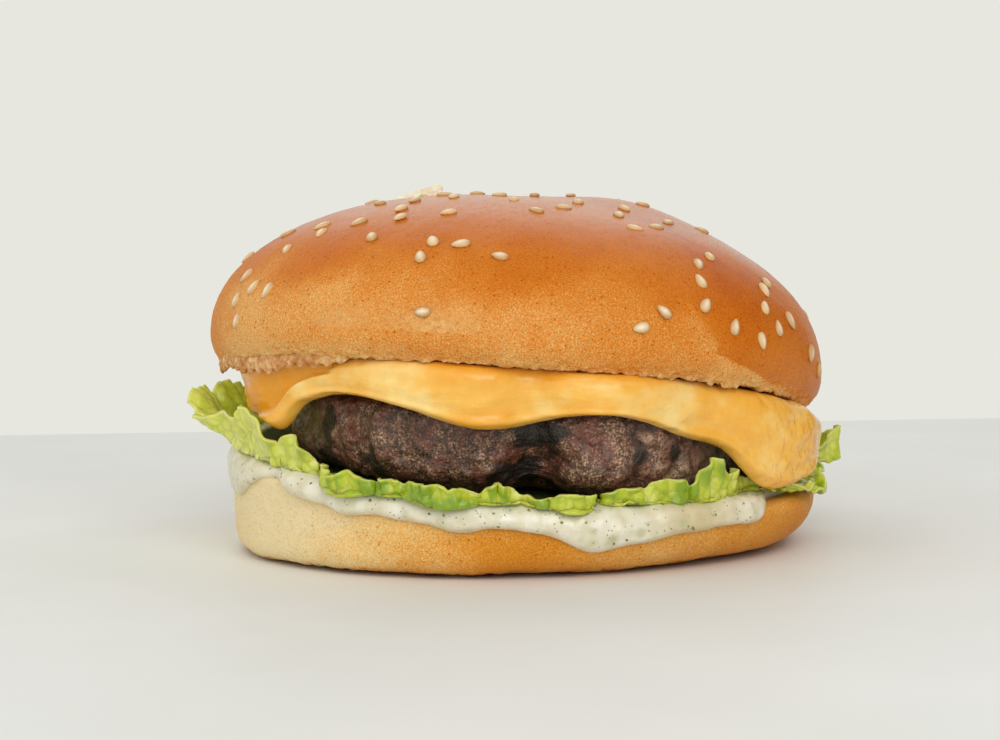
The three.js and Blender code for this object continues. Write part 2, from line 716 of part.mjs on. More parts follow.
// The few seeds on the bare front, each a bearing, a rise and a turn.
const STRAY_SEEDS = [
  { bearing: -111.0, rise: 0.39, turn: 208 },
  { bearing: -104.5, rise: 0.383, turn: 294 },
  { bearing: -111.5, rise: 0.307, turn: 204 },
  { bearing: -95.5, rise: 0.333, turn: 258 },
  { bearing: -107.5, rise: 0.07, turn: 278 },
  { bearing: -68.5, rise: 0.065, turn: 286 },
  { bearing: -64.0, rise: 0.135, turn: 230 },
];
const SEED_PLACES = {
  tries: 360,
  step: 2, // only every second place may hold a seed
  apart: 3.6,
  goldenTurn: 137.508, // degrees from one place to the next
  bearingScatter: 6,
  riseScatter: 0.03,
  turnScatter: { onSide: 80, onTop: 360 }, // on the steep sides seeds lie along the slope
  draw: 20261, // start of the random draws
};

/** Share of places that hold a seed: many on both shoulders, fewer on top, few in front. */
const seedShare = (bearing, rise) => {
  const bump = (at, spread) => exp(-((turnBetween(bearing, at) / spread) ** 2));
  const right = 0.62 * bump(-43, 15) * (1 - smooth(rise, 0.55, 0.75));
  const left = 0.7 * bump(-148, 9 + 20 * smooth(rise, 0.3, 0.5)) * (1 - smooth(rise, 0.6, 0.7));
  const back = 0.35 * bump(90, 75) * smooth(rise, 0.05, 0.35);
  return max(right, left, back, 0.62 * smooth(rise, 0.5, 0.62));
};

/** Whether a place is far enough from all seeds before it. */
const isFree = (place, others) => {
  const here = crustPoint(place.bearing, place.rise);
  const away = (other) => here.distanceTo(crustPoint(other.bearing, other.rise));
  return others.every((other) => away(other) > SEED_PLACES.apart);
};

/** Where each seed lies: places spread evenly by the golden angle, some of them empty. */
const seedPlaces = () => {
  const { tries, step, goldenTurn, bearingScatter, riseScatter, turnScatter } = SEED_PLACES;
  const random = randomFrom(SEED_PLACES.draw);
  const places = [...STRAY_SEEDS];
  for (let i = 0; i < tries; i++) {
    const bearing = ((i * goldenTurn) % 360) + bearingScatter * (random() - 0.5);
    const evenly = 0.99 - ((i + 0.5) / tries) ** 0.5;
    const rise = THREE.MathUtils.clamp(evenly + riseScatter * (random() - 0.5), 0, 0.97);
    const halfTurn = random() < 0.5 ? 180 : 0;
    const scatter = THREE.MathUtils.lerp(turnScatter.onSide, turnScatter.onTop, smooth(rise, 0.5, 0.7));
    const place = { bearing, rise, turn: halfTurn + scatter * (random() - 0.5) };
    const kept = random() < seedShare(bearing, rise);
    if (kept && i % step === 0 && isFree(place, places)) places.push(place);
  }
  return places;
};

/** The seed's frame on the crust: x turned along the surface, z out of it. */
const seedMatrix = ({ bearing, rise, turn }) => {
  const step = 0.01;
  const here = crustPoint(bearing, rise);
  const up = crustPoint(bearing, rise + step).sub(here);
  const round = crustPoint(bearing + 1, rise).sub(here);
  const out = round.clone().cross(up).normalize();
  const along = up.normalize().applyAxisAngle(out, rad(turn));
  const side = out.clone().cross(along);
  const place = here.addScaledVector(out, SEED.sunk);
  return new THREE.Matrix4().makeBasis(along, side, out).setPosition(place);
};

// ---- Joining with manifold-3d --------------------------------------------------------------

const wasm = await Module();
wasm.setup();

const toSolid = (geometry) => {
  const bare = geometry.clone();
  bare.deleteAttribute("normal");
  const merged = mergeVertices(bare, 1e-4);
  return new wasm.Manifold(
    new wasm.Mesh({
      numProp: 3,
      vertProperties: new Float32Array(merged.attributes.position.array),
      triVerts: new Uint32Array(merged.index.array),
    }),
  );
};

const toGeometry = (solid) => {
  const { vertProperties, triVerts } = solid.getMesh();
  return indexed(Array.from(vertProperties), Array.from(triVerts));
};

const makeCrown = () => {
  const seed = seedGeometry();
  const seeds = seedPlaces().map((place) => toSolid(seed.clone().applyMatrix4(seedMatrix(place))));
  const bits = [toSolid(flakeGeometry()), ...seeds];
  return toGeometry(bits.reduce((whole, one) => whole.add(one), toSolid(crownShell())));
};

// ---- The burger -----------------------------------------------------------------------------

const burger = new THREE.Group();
burger.add(mesh("bun_heel", makeHeel(), COLOURS.heel, 0.75));
burger.add(mesh("herb_sauce", makeSauce(), COLOURS.sauce, 0.3));
for (const [name, notches] of Object.entries(LEAVES))
  burger.add(mesh(name, makeLeaf(notches), COLOURS.leaf, 0.5));
burger.add(mesh("beef_patty", makePatty(), COLOURS.beef, 0.55));
burger.add(mesh("cheese_slice", makeCheese(), COLOURS.cheese, 0.35));

const crown = new THREE.Group();
crown.add(mesh("bun_crown", makeCrown(), COLOURS.crust, 0.5));
crown.position.set(CROWN_CUT.middle, 0, CROWN_CUT.height + CROWN_CUT.alongX * CROWN_CUT.middle);
crown.quaternion.setFromUnitVectors(
  new THREE.Vector3(0, 0, 1),
  new THREE.Vector3(-CROWN_CUT.alongX, -CROWN_CUT.alongY, 1).normalize(),
);
burger.add(crown);

export default burger;
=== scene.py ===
# %% [markdown]
# # A cheeseburger, layer by layer
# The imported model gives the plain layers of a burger: heel, sauce, lettuce, patty, cheese and
# crown. Here each layer is made again on a fine grid, with the relief and the finish that food
# has, and takes the place of its plain solid. A sculptor would push clay about, or a scanner
# would record a real burger. We write every surface as a formula of two numbers instead,
# because a formula can be read, changed and made as fine as a close look needs.

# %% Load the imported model
import math

import bpy
import numpy as np
from mathutils import Matrix, Vector


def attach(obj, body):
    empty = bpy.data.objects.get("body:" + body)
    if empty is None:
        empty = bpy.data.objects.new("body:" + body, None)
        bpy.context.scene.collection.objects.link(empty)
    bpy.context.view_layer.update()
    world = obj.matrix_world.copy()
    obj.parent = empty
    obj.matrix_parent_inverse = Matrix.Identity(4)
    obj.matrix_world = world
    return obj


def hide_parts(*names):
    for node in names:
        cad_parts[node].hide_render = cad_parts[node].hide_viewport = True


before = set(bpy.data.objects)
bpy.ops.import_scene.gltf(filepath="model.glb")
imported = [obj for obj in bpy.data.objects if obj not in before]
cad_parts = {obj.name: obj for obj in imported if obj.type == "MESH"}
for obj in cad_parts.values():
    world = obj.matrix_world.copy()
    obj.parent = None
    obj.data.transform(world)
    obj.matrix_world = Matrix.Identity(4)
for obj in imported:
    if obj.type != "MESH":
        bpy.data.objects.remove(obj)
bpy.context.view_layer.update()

MM = 0.001  # the formulas work in millimetres, Blender in metres

# %% [markdown]
# ## Sizes
# Two bun halves were cut apart by hand, so their cut faces slope and bend a little. Every
# layer between them follows these two faces. They could be modelled one by one and pushed
# until they touch, but a shared formula makes them fit by themselves. A bearing is an angle
# round the upright axis: 0 points right, 90 to the back and -90 to the front.

# %% The sizes of the stack
HEEL = {
    "radius": 54.4,
    "foot": (7.0, 3.0),  # height of the rolled-under foot: mean, and swing to the right
    "tuck": (8.5, 5.0),  # how far in the foot goes: mean, and swing to the right
    "top_edge": 1.6,
}
PRESSED = {"depth": 2.4, "full": 43.0, "none": 49.8}  # the heel's cut face under the patty
NO_HILL = {"x": 0.0, "y": 0.0, "size": 0.0, "spread": 1.0}
HEEL_CUT = {
    "height": 13.6,
    "along_x": -0.07,
    "along_y": 0.045,
    "bend": 1.3,
    "middle": 0.0,
    "hill": NO_HILL,
}
CROWN_CUT = {
    "height": 33.6,
    "along_x": -0.122,
    "along_y": -0.05,
    "bend": -3.34,
    "middle": -1.3,
    "hill": {"x": 46.0, "y": -40.0, "size": 2.9, "spread": 34.0},
}
CROWN = {
    "radius": 57.9,
    "depth_share": 0.97,
    "height": 31.4,
    "belly": 5.2,
    "undercut": 2.6,
    "fullness": (2.13, 0.13),  # how full the dome is: mean, and swing to the right
}
PATTY = {"half_width": 43.6, "half_depth": 46.5, "forward": 2.0, "over": 4.2, "under": 6.5}
CHEESE = {"thickness": 2.5, "skirt": 3.0, "ledge": 4.6, "squareness": 5.2}
CHEESE_KNEE = {"least": 2.0, "share": 0.12}  # fall of its shoulder: in mm, and of the drop
LEAF = {"thickness": 0.8, "wall": 0.5, "start": 14.0, "above_cut": 2.45, "edge_radius": 54}
SEED = {"length": 3.3, "width": 2.1, "height": 1.1, "sunk": 0.18}
FLAKE = {"x": -21.5, "y": 0.5, "length": 9.5, "rise": 2.6, "root": 1.2, "wall": 0.35}
CLEAR = 0.42  # the plain solids' gap between two layers
print("heel cut at the axis:", HEEL_CUT["height"], "mm, crown cut:", CROWN_CUT["height"], "mm")

# %% [markdown]
# ## Bumps round the turn
# Melted cheese hangs in lobes, and sauce runs in tongues. Each lobe is a smooth bump at some
# bearing, with a size in millimetres and a spread in degrees. A painted height map could say
# the same, but a short list of bumps says where each lobe is in words.

# %% Bumps and bells
def turn_between(a, b):
    """Difference of two bearings, brought to the range from -180 to 180."""
    return (a - b + 180) % 360 - 180


def bell(value, middle, spread):
    """exp(-((value - middle) / spread) squared): 1 in the middle, fading to both sides."""
    return np.exp(-(((value - middle) / spread) ** 2))


def bumps_at(bumps, bearing):
    """The sum of size times a bell of the turn away from each bump."""
    return sum(size * bell(turn_between(bearing, at), 0, spread) for at, size, spread in bumps)


def uneven(bearing, phase):
    """Three cosines of 2, 3 and 5 waves a turn, from about -1 to 1."""
    a = np.radians(bearing)
    return (
        0.5 * np.cos(2 * a + phase)
        + 0.3 * np.cos(3 * a + 1.7 * phase)
        + 0.2 * np.cos(5 * a + 2.9 * phase)
    )


def smooth(value, low, high):
    """0 below low, 1 above high, and 3t^2 - 2t^3 in between."""
    t = np.clip((value - low) / (high - low), 0, 1)
    return t * t * (3 - 2 * t)


print("bumps in the middle and one spread away:", bumps_at([(0, 1, 10)], np.array([0.0, 10.0])))

# %% [markdown]
# ## The two cut faces
# A cut face is a tilted plane, bent a little to both sides. A plane pushed through by Blender's
# Bend modifier would give the same, but then no other layer could ask how high it is at some
# place. As a function of the place it can carry everything that lies on it.

# %% The two cut faces
def hill_at(hill, p):
    """A round hill over the points: size times exp(-(distance / spread) squared)."""
    away = (p[..., 0] - hill["x"]) ** 2 + (p[..., 1] - hill["y"]) ** 2
    return hill["size"] * np.exp(-away / hill["spread"] ** 2)


def bend_at(cut, p):
    """How far a cut face is bent up: by the square of the distance beside its middle, and by a
    low hill where the filling pushes it up."""
    return cut["bend"] * (p[..., 0] / HEEL["radius"]) ** 2 + hill_at(cut["hill"], p)


def cut_at(cut, p):
    """Height of a cut face: height at the axis, plus the slopes times x and y, plus the bend."""
    level = cut["height"] + cut["along_x"] * p[..., 0] + cut["along_y"] * p[..., 1]
    return level + bend_at(cut, p - (cut["middle"], 0, 0))


def off_axis(p):
    """Distance of points from the upright axis."""
    return np.hypot(p[..., 0], p[..., 1])


def bearing_of(p):
    """Bearing of points, from -180 to 180."""
    return np.degrees(np.arctan2(p[..., 1], p[..., 0]))


def heel_top(p):
    """Height of the heel's cut face: pressed down evenly under the patty, less towards the rim."""
    share = (PRESSED["none"] - off_axis(p)) / (PRESSED["none"] - PRESSED["full"])
    return cut_at(HEEL_CUT, p) - PRESSED["depth"] * np.clip(share, 0, 1)


def points_at(x, y, z):
    """Points from three coordinates, each a number or an array that is spread over the grid."""
    return np.stack(np.broadcast_arrays(x, y, z), axis=-1)


def polar(bearing, radius, z=0):
    """Points from bearing, distance from the axis and height."""
    a = np.radians(bearing)
    return points_at(radius * np.cos(a), radius * np.sin(a), z)


HEEL_MARK = polar(0, HEEL["radius"])
print("heel's cut face at the right rim:", round(float(heel_top(HEEL_MARK)), 1), "mm up")

# %% [markdown]
# Two small helpers save a lot of writing below. Every grid here has its rows spaced by a column
# of numbers, closer together where the shape turns fast. And the shoulders of the crown and the
# cheese are both a quarter round that a power makes squarer or flatter.

# %% Columns and quarter rounds
def column(*ranges):
    """A column of numbers: for each range its first, its last and how many, evenly spaced."""
    return np.concatenate([np.linspace(*numbers) for numbers in ranges])[:, None]


def quarter_round(share, power):
    """Cosine and sine of a share of a quarter turn, each to a power: below 1 it is squarish."""
    a = share * (math.pi / 2)
    return np.maximum(0, np.cos(a)) ** power, np.maximum(0, np.sin(a)) ** power


print("half way round a quarter:", [round(float(v), 2) for v in quarter_round(0.5, 1)])

# %% [markdown]
# ## Roughness from random numbers
# Nothing on food is smooth for long. We need two kinds of roughness: soft lumps, as in a
# crust, and packed grains, as in minced meat. Blender's Displace modifier has textures for
# both. Working them out on the points keeps them in the mesh, where they also shape the
# outline.

# %% Lumps and grains
def random_at(cell, seed):
    """A repeatable number from 0 to 1 for each whole-numbered cell, by mixing its bits."""
    c = np.floor(cell).astype(np.int64)
    mixed = c[..., 0] * 73856093 ^ c[..., 1] * 19349663 ^ c[..., 2] * 83492791 ^ seed * 40503
    mixed = (mixed ^ (mixed >> 15)) * 2246822519 & 0xFFFFFFFF
    mixed = (mixed ^ (mixed >> 13)) * 3266489917 & 0xFFFFFFFF
    return ((mixed ^ (mixed >> 16)) & 0xFFFFFF) / 0xFFFFFF


def lumps(points, size, seed=0):
    """Random numbers at the corners of cells of a size in mm, blended smoothly, -1 to 1."""
    place = points / size
    base = np.floor(place)
    part = place - base
    part = part * part * (3 - 2 * part)
    total = 0
    for corner in np.ndindex(2, 2, 2):
        weight = np.prod(np.where(np.array(corner) == 1, part, 1 - part), axis=-1)
        total = total + weight * random_at(base + corner, seed)
    return 2 * total - 1


def rough(points, size, seed=0, layers=3):
    """Layers of lumps, each half as large and half as high as the one before."""
    return sum(lumps(points, size / 2**k, seed + k) / 2**k for k in range(layers))


def grains(points, size, seed=0):
    """Distances to the nearest and second nearest of random points, one to each cell."""
    place = points / size
    base = np.floor(place)
    nearest = np.full(points.shape[:-1], 9.0)
    second = nearest.copy()
    for step in np.ndindex(3, 3, 3):
        cell = base + np.array(step) - 1
        grain = cell + np.stack([random_at(cell, seed + k) for k in range(3)], axis=-1)
        distance = np.linalg.norm(place - grain, axis=-1)
        second = np.minimum(second, np.maximum(nearest, distance))
        nearest = np.minimum(nearest, distance)
    return nearest, second


trial = np.random.default_rng(1).uniform(-50, 50, (2000, 3))
print("lumps from", round(lumps(trial, 5).min(), 2), "to", round(lumps(trial, 5).max(), 2))

# %% [markdown]
# ## From a grid of points to a mesh
# A surface that goes once round an axis is a grid of rows and columns whose last column meets
# the first. Its first and last rows shrink to a point, so the shape is closed like a bag.
# Blender's Spin and Screw tools turn a profile too, but only one and the same profile all the
# way round, and ours changes with the bearing.

# %% Meshes from grids
def outward(grid):
    """The way out of a surface: the step across the columns, crossed with the step up the rows."""
    across = np.roll(grid, -1, axis=1) - np.roll(grid, 1, axis=1)
    up = np.gradient(grid, axis=0)
    out = np.cross(across, up)
    return out / np.maximum(np.linalg.norm(out, axis=-1, keepdims=True), 1e-9)


def raised(grid, height):
    """Every point moved out of the surface by its height in mm."""
    return grid + outward(grid) * height[..., None]


def joined_round(grid):
    """Points, four-sided faces and end fans of a grid that closes round and at both ends."""
    rows, columns = grid.shape[:2]
    points = np.concatenate([grid[:1, 0], grid[1:-1].reshape(-1, 3), grid[-1:, 0]])
    place = 1 + np.arange((rows - 2) * columns).reshape(rows - 2, columns)
    beside = np.roll(place, -1, axis=1)
    quads = np.stack([place[:-1], beside[:-1], beside[1:], place[1:]], axis=-1).reshape(-1, 4)
    first = np.stack([np.zeros(columns, int), beside[0], place[0]], axis=-1)
    last = np.stack([np.full(columns, len(points) - 1), place[-1], beside[-1]], axis=-1)
    return points, quads, np.concatenate([first, last])


def flat_sheet(grid):
    """Points and four-sided faces of an open grid."""
    rows, columns = grid.shape[:2]
    place = np.arange(rows * columns).reshape(rows, columns)
    quads = np.stack([place[:-1, :-1], place[:-1, 1:], place[1:, 1:], place[1:, :-1]], axis=-1)
    return grid.reshape(-1, 3), quads.reshape(-1, 4), np.zeros((0, 3), int)


corner_grid = points_at(np.arange(3)[None, :], np.arange(4)[:, None], 0)
print("a grid of 4 rows of 3 points has", len(flat_sheet(corner_grid)[1]), "faces")

# %% [markdown]
# A piece is an object whose mesh holds the points and faces, along with its masks: numbers kept
# at each point, by which the finish will know where the crust is browner or the leaf paler.
# They could be painted by hand as vertex colours; worked out from the shape, they always fit it.

# %% Pieces from meshes
def make_piece(name, shape, material, slot, replaces=None, **masks):
    """A new object from points and faces; each mask is kept in the mesh as a named attribute."""
    points, quads, triangles = shape
    corners = np.concatenate([quads.ravel(), triangles.ravel()]).astype(np.int32)
    starts = np.concatenate(
        [np.arange(len(quads)) * 4, len(quads) * 4 + np.arange(len(triangles)) * 3]
    ).astype(np.int32)
    mesh = bpy.data.meshes.new(name)
    mesh.vertices.add(len(points))
    mesh.vertices.foreach_set("co", (points * MM).astype(np.float32).ravel())
    mesh.loops.add(len(corners))
    mesh.loops.foreach_set("vertex_index", corners)
    mesh.polygons.add(len(starts))
    mesh.polygons.foreach_set("loop_start", starts)
    mesh.update(calc_edges=True)
    for mask, values in masks.items():
        attribute = mesh.attributes.new(mask, "FLOAT", "POINT")
        attribute.data.foreach_set("value", np.asarray(values, np.float32).ravel())
    mesh.materials.append(material)
    mesh.shade_smooth()
    piece = bpy.data.objects.new(name, mesh)
    bpy.context.scene.collection.objects.link(piece)
    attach(piece, "root")
    if replaces:
        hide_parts(replaces)
    print(name, "has", 2 * len(quads) + len(triangles), "triangles")
    return piece


def closed_piece(name, grid, material, slot, replaces=None, **masks):
    """A piece from a grid that closes like a bag; its masks are grids of rows and columns too."""
    for mask, values in masks.items():
        whole = np.broadcast_to(values, grid.shape[:2])
        masks[mask] = np.concatenate([whole[:1, 0], whole[1:-1].ravel(), whole[-1:, 0]])
    make_piece(name, joined_round(grid), material, slot, replaces, **masks)


def thicken(piece, wall):
    """Gives a sheet a wall in mm, half of it to each side."""
    solidify = piece.modifiers.new("thickness", "SOLIDIFY")
    solidify.thickness = wall * MM
    solidify.offset = 0


print("meshes before the first piece:", len(bpy.data.meshes))

# %% [markdown]
# ## Writing a material as sums
# A finish is a few sums: mostly crust, a little darker where it baked longer, speckled by a
# fine noise. In the shader editor each sum is a node with cables. Here a small class wraps a
# cable's end, so that `bake + 0.2 * speckle` adds the Math nodes by itself. Colours can't
# pass through Math nodes without turning grey, so they go through Mix nodes.

# %% A cable end that can be added and multiplied
def paint(shown):
    """Red, green and blue as a screen shows them, 0 to 255, turned into a shader's light."""
    shown = np.array(shown) / 255
    light = np.where(shown <= 0.04045, shown / 12.92, ((shown + 0.055) / 1.055) ** 2.4)
    return (*(float(v) for v in light), 1.0)


class Cable:
    """An output of a node in a material; sums and products of it add Math nodes."""

    def __init__(self, finish, socket):
        self.finish = finish
        self.socket = socket

    def worked(self, operation, *values):
        """The result of a Math node on some values."""
        return self.finish.node("Math", {"operation": operation}, dict(enumerate(values)))

    def __add__(self, other):
        return self.worked("ADD", self, other)

    def __sub__(self, other):
        return self.worked("SUBTRACT", self, other)

    def __rsub__(self, other):
        return self.worked("SUBTRACT", other, self)

    def __mul__(self, other):
        return self.worked("MULTIPLY", self, other)

    __radd__ = __add__
    __rmul__ = __mul__

    def between(self, low, high):
        """0 below low and 1 above high, with a smooth rise between them."""
        settings = {"interpolation_type": "SMOOTHSTEP"}
        values = {"Value": self, "From Min": low, "From Max": high}
        return self.finish.node("MapRange", settings, values)


print("paint((255, 128, 0)) is", [round(v, 3) for v in paint((255, 128, 0))])

# %% [markdown]
# All finishes need the same few nodes: soft noise, spots, mixes, colour ramps and bumps. Each
# is one method here, and every one of them goes through a single method that makes a node,
# because then the order is always the same: the settings first, then what is plugged in.

# %% A finish under construction
class Finish:
    """A material under construction, round one Principled shader."""

    def __init__(self, name, **constants):
        self.material = bpy.data.materials.new(name)
        self.material.use_nodes = True
        self.tree = self.material.node_tree
        self.shader = self.tree.nodes["Principled BSDF"]
        for socket, value in constants.items():
            self.shader.inputs[socket.replace("_", " ")].default_value = value

    def join(self, value, socket):
        """Links a cable to a socket, or writes a plain value into it."""
        if isinstance(value, Cable):
            self.tree.links.new(value.socket, socket)
        else:
            socket.default_value = value

    def node(self, kind, settings=None, values=None, out=0):
        """A node of a kind, with its settings made first, then its inputs filled."""
        made = self.tree.nodes.new("ShaderNode" + kind)
        for name, setting in (settings or {}).items():
            if name == "stops":
                for _ in range(len(setting) - 2):
                    made.color_ramp.elements.new(0.5)
                for element, (place, colour) in zip(made.color_ramp.elements, setting.items()):
                    element.position = place
                    element.color = paint(colour)
            else:
                setattr(made, name, setting)
        for name, value in (values or {}).items():
            self.join(value, self.input(made, name))
        return Cable(self, made.outputs[out])

    def input(self, made, name):
        """An input by its number, identifier or name."""
        if isinstance(name, int):
            return made.inputs[name]
        found = [s for s in made.inputs if s.identifier == name]
        return found[0] if found else made.inputs[name]

    def mask(self, name):
        """An attribute of the mesh."""
        return self.node("Attribute", {"attribute_name": name}, out=2)

    def place(self):
        """Where a point is on the object, in metres."""
        return self.node("TexCoord", out=3)

    def stretched(self, x, y, z):
        """The place, scaled by a factor along each axis."""
        return self.node("Mapping", None, {"Vector": self.place(), "Scale": (x, y, z)})

    def noise(self, size, detail=2.0, where=None):
        """A soft noise around 0.5 with lumps of a size in mm."""
        values = {"Vector": where or self.place(), "Scale": 1 / (size * MM), "Detail": detail}
        return self.node("TexNoise", None, values)

    def spots(self, size):
        """Distance to the nearest of random points that lie about a size in mm apart."""
        values = {"Vector": self.place(), "Scale": 1 / (size * MM)}
        return self.node("TexVoronoi", None, values)

    def dots(self, size, inner, outer):
        """1 near the random points and 0 further off, the distances given as shares of size."""
        return 1 - self.spots(size).between(inner, outer)

    def mix(self, factor, first, second):
        """A mix of two colours, cables or screen values: factor 0 is the first, 1 the second."""
        first, second = (c if isinstance(c, Cable) else paint(c) for c in (first, second))
        values = {"Factor_Float": factor, "A_Color": first, "B_Color": second}
        return self.node("Mix", {"data_type": "RGBA", "clamp_factor": True}, values, out=2)

    def ramp(self, factor, stops):
        """Screen colours at places from 0 to 1, blended between."""
        return self.node("ValToRGB", {"stops": stops}, {"Fac": factor})

    def bump(self, height, depth, under=None):
        """A bump of a depth in mm; under is another bump below it."""
        values = {"Height": height, "Distance": depth * MM, "Strength": 1.0}
        if under:
            values["Normal"] = under
        return self.node("Bump", None, values)

    def done(self, **results):
        """Joins the results to the shader's sockets and gives the material."""
        for socket, value in results.items():
            self.join(value, self.shader.inputs[socket.replace("_", " ")])
        return self.material


trial_finish = Finish("trial")
trial_finish.done(Roughness=0.5 * trial_finish.noise(1) + 0.2)
print("0.5 * noise + 0.2 makes", len(trial_finish.tree.nodes) - 2, "nodes")
bpy.data.materials.remove(trial_finish.material)

# %% [markdown]
# ## The bun heel
# The lower half of the bun stands on the table. It rolled under as it baked, more on the
# right than on the left, and above that its side is nearly upright. We walk along its skin
# from under the middle, out and up the side, round the cut rim and back over the cut face.

# %% The heel's outline
def heel_radius(bearing):
    """The radius, with a gentle unevenness of 0.7 mm."""
    return HEEL["radius"] + 0.7 * uneven(bearing, 0.8)


def heel_rim(bearing):
    """Height of the cut face at the outline."""
    return heel_top(polar(bearing, heel_radius(bearing)))


def heel_side(bearing, z):
    """Radius at a height: the foot is a quarter of a rounded square, then the side is upright."""
    swing = np.cos(np.radians(bearing))
    foot = HEEL["foot"][0] + HEEL["foot"][1] * swing
    foot = np.minimum(foot, heel_rim(bearing) - HEEL["top_edge"])
    under = np.clip(1 - np.maximum(z, 0) / foot, 0, 1)
    tuck = HEEL["tuck"][0] + HEEL["tuck"][1] * swing
    return heel_radius(bearing) - tuck * (1 - (1 - under**2.2) ** (1 / 2.2))


print("heel's side at the right, half way up:", round(float(heel_side(0, 5.0)), 1), "mm out")

# %% [markdown]
# The sauce will have to follow the heel over its rim, so the way over the cut face, round the
# rim and down the side is a function of how many millimetres one has walked along it.

# %% The way over the rim
def over_heel(bearing, walked):
    """Radius, height and way out of the skin by the mm walked from the axis over the cut face,
    round the quarter circle of the rim, and down the side."""
    edge = HEEL["top_edge"]
    flat = heel_radius(bearing) - edge
    angle = np.clip((walked - flat) / edge, 0, math.pi / 2)
    fallen = np.maximum(0, walked - flat - math.pi / 2 * edge)
    z = heel_rim(bearing) - edge + edge * np.cos(angle) - fallen
    side = np.where(fallen > 0, heel_side(bearing, z) - heel_radius(bearing), 0)
    p = polar(bearing, walked)
    on_top = walked <= flat
    r = np.where(on_top, walked, flat + edge * np.sin(angle) + side)
    z = np.where(on_top, heel_top(p), z)
    return r, z, np.where(on_top, 0, np.sin(angle)), np.where(on_top, 1, np.cos(angle))


def bearings(columns):
    """A row of bearings once round, without the last that would meet the first."""
    return np.linspace(0, 360, columns, endpoint=False)[None, :]


turn = bearings(640)
level = column((0, 1, 96)) * (heel_rim(turn) - HEEL["top_edge"])
side_rows = polar(turn, heel_side(turn, level), level)
under_rows = side_rows[:1] * column((0, 0.98, 8))[..., None]
flat_part = heel_radius(turn) - HEEL["top_edge"]
round_part = math.pi / 2 * HEEL["top_edge"]
round_walk = flat_part + round_part * column((0.9, 0, 10))
r, z, _, _ = over_heel(turn, np.concatenate([round_walk, flat_part * column((0.97, 0, 12))]))
heel_grid = np.concatenate([under_rows, side_rows, polar(turn, r, z)])
print("heel grid:", heel_grid.shape[0], "rows of", heel_grid.shape[1])

# %% [markdown]
# The side of real bread is never a clean curve: it has shallow dents from being handled, a
# fine grain, and a ragged edge where it sat. The relief is strongest on the side and dies away
# towards the hidden faces. The left side had its neighbour on the tray against it and stayed
# pale, the right side browned. At the front right it is painted paler, as painted light where
# the layers above overhang it.

# %% The heel's relief and masks
height_share = np.clip(heel_grid[..., 2] / 10, 0, 1)
on_side = smooth(off_axis(heel_grid), 30, 42)
near_table = bell(heel_grid[..., 2], 0, 1.1) * on_side
heel_relief = on_side * (
    0.30 * rough(heel_grid, 11, 3)
    + 0.07 * rough(heel_grid, 1.8, 5)
    - near_table * (0.35 + 0.55 * np.abs(rough(heel_grid, 1.5, 8)))
)
heel_grid = raised(heel_grid, heel_relief)
heel_grid[..., 2] = np.maximum(heel_grid[..., 2], 0)
HEEL_TONES_AND_PAINTED_LIGHT = [  # how much more or less it baked: bearing, amount and spread; at -58 it is painted paler, as painted light where the layers above shade it
    (205, -0.62, 50), (-92, 0.20, 14), (-58, -0.18, 22), (70, 0.10, 50),
]
heel_bake_and_painted_light = 0.60 + bumps_at(HEEL_TONES_AND_PAINTED_LIGHT, bearing_of(heel_grid))
heel_bake_and_painted_light += 0.07 * rough(heel_grid, 12, 21) - 0.10 * smooth(height_share, 0.6, 1)
heel_bake_and_painted_light += 0.45 * near_table * (0.6 + 0.9 * rough(heel_grid, 3, 35))
heel_crumb = np.clip(near_table * (0.2 + 0.9 * rough(heel_grid, 4, 31)), 0, 1)
print("heel baked from", round(heel_bake_and_painted_light.min(), 2), "to", round(heel_bake_and_painted_light.max(), 2))

# %% [markdown]
# ## What bread crust looks like
# Crust goes from cream, where little heat reached it, over gold to a deep orange brown. One
# mask says how far each place baked, with painted light, shade and reflection added in places,
# and a ramp turns it into colour. A fine speckle comes from tiny blisters in the skin. Its pale
# crackle dots are partly painted glints, and its pits are painted darker as painted shade. The
# egg wash leaves a coat that shines most on top.

# %% The crust finish
CRUMB_CREAMS = {0.25: (196, 132, 66), 0.6: (232, 186, 118), 1.0: (247, 222, 176)}


def crust_finish(name, shine, browns):
    """Bake mask to colour by a ramp, speckle and pores on top, pale crackle dots that are partly
    painted glints, pits darkened as painted shade, and the cream of torn bread where the skin is
    torn and on painted sheen patches.
    """
    crust = Finish(name, Coat_Roughness=0.2, Coat_IOR=1.25, Specular_IOR_Level=0.11)
    wash = crust.mask("wash")
    speckle = crust.noise(0.3, 2)
    pores = crust.noise(0.9, 2)
    # painted glints: the crackle's dots make the crust paler, partly standing in for glints
    crackle_with_painted_glints = crust.dots(0.55, 0.12, 0.36)
    # painted shade: the pits make the crust darker in its dents
    pits_with_painted_shade = crust.dots(1.15, 0.08, 0.24) * crust.noise(3, 1).between(0.42, 0.6)
    baked = crust.mask("baked") + (crust.noise(6, 3) - 0.5) * 0.2 + pits_with_painted_shade * 0.3
    baked = baked + (speckle - 0.5) * (0.9 - 0.4 * wash) - crackle_with_painted_glints * (0.22 - 0.15 * wash)
    colour = crust.ramp(baked, {0.0: (240, 219, 172), 0.2: (236, 196, 124), **browns})
    crumb = crust.ramp(crust.noise(0.8, 4), CRUMB_CREAMS)
    colour = crust.mix(crust.mask("crumb"), colour, crumb)
    skin = crust.bump(crackle_with_painted_glints - pits_with_painted_shade, 0.1, crust.bump(speckle, 0.09))
    return crust.done(
        Base_Color=colour,
        Roughness=0.56 - 0.16 * wash + 0.1 * pores,
        Coat_Weight=wash * shine * (0.5 + 1.0 * speckle.between(0.3, 0.7)),
        Normal=crust.bump(pores, 0.1, skin),
    )


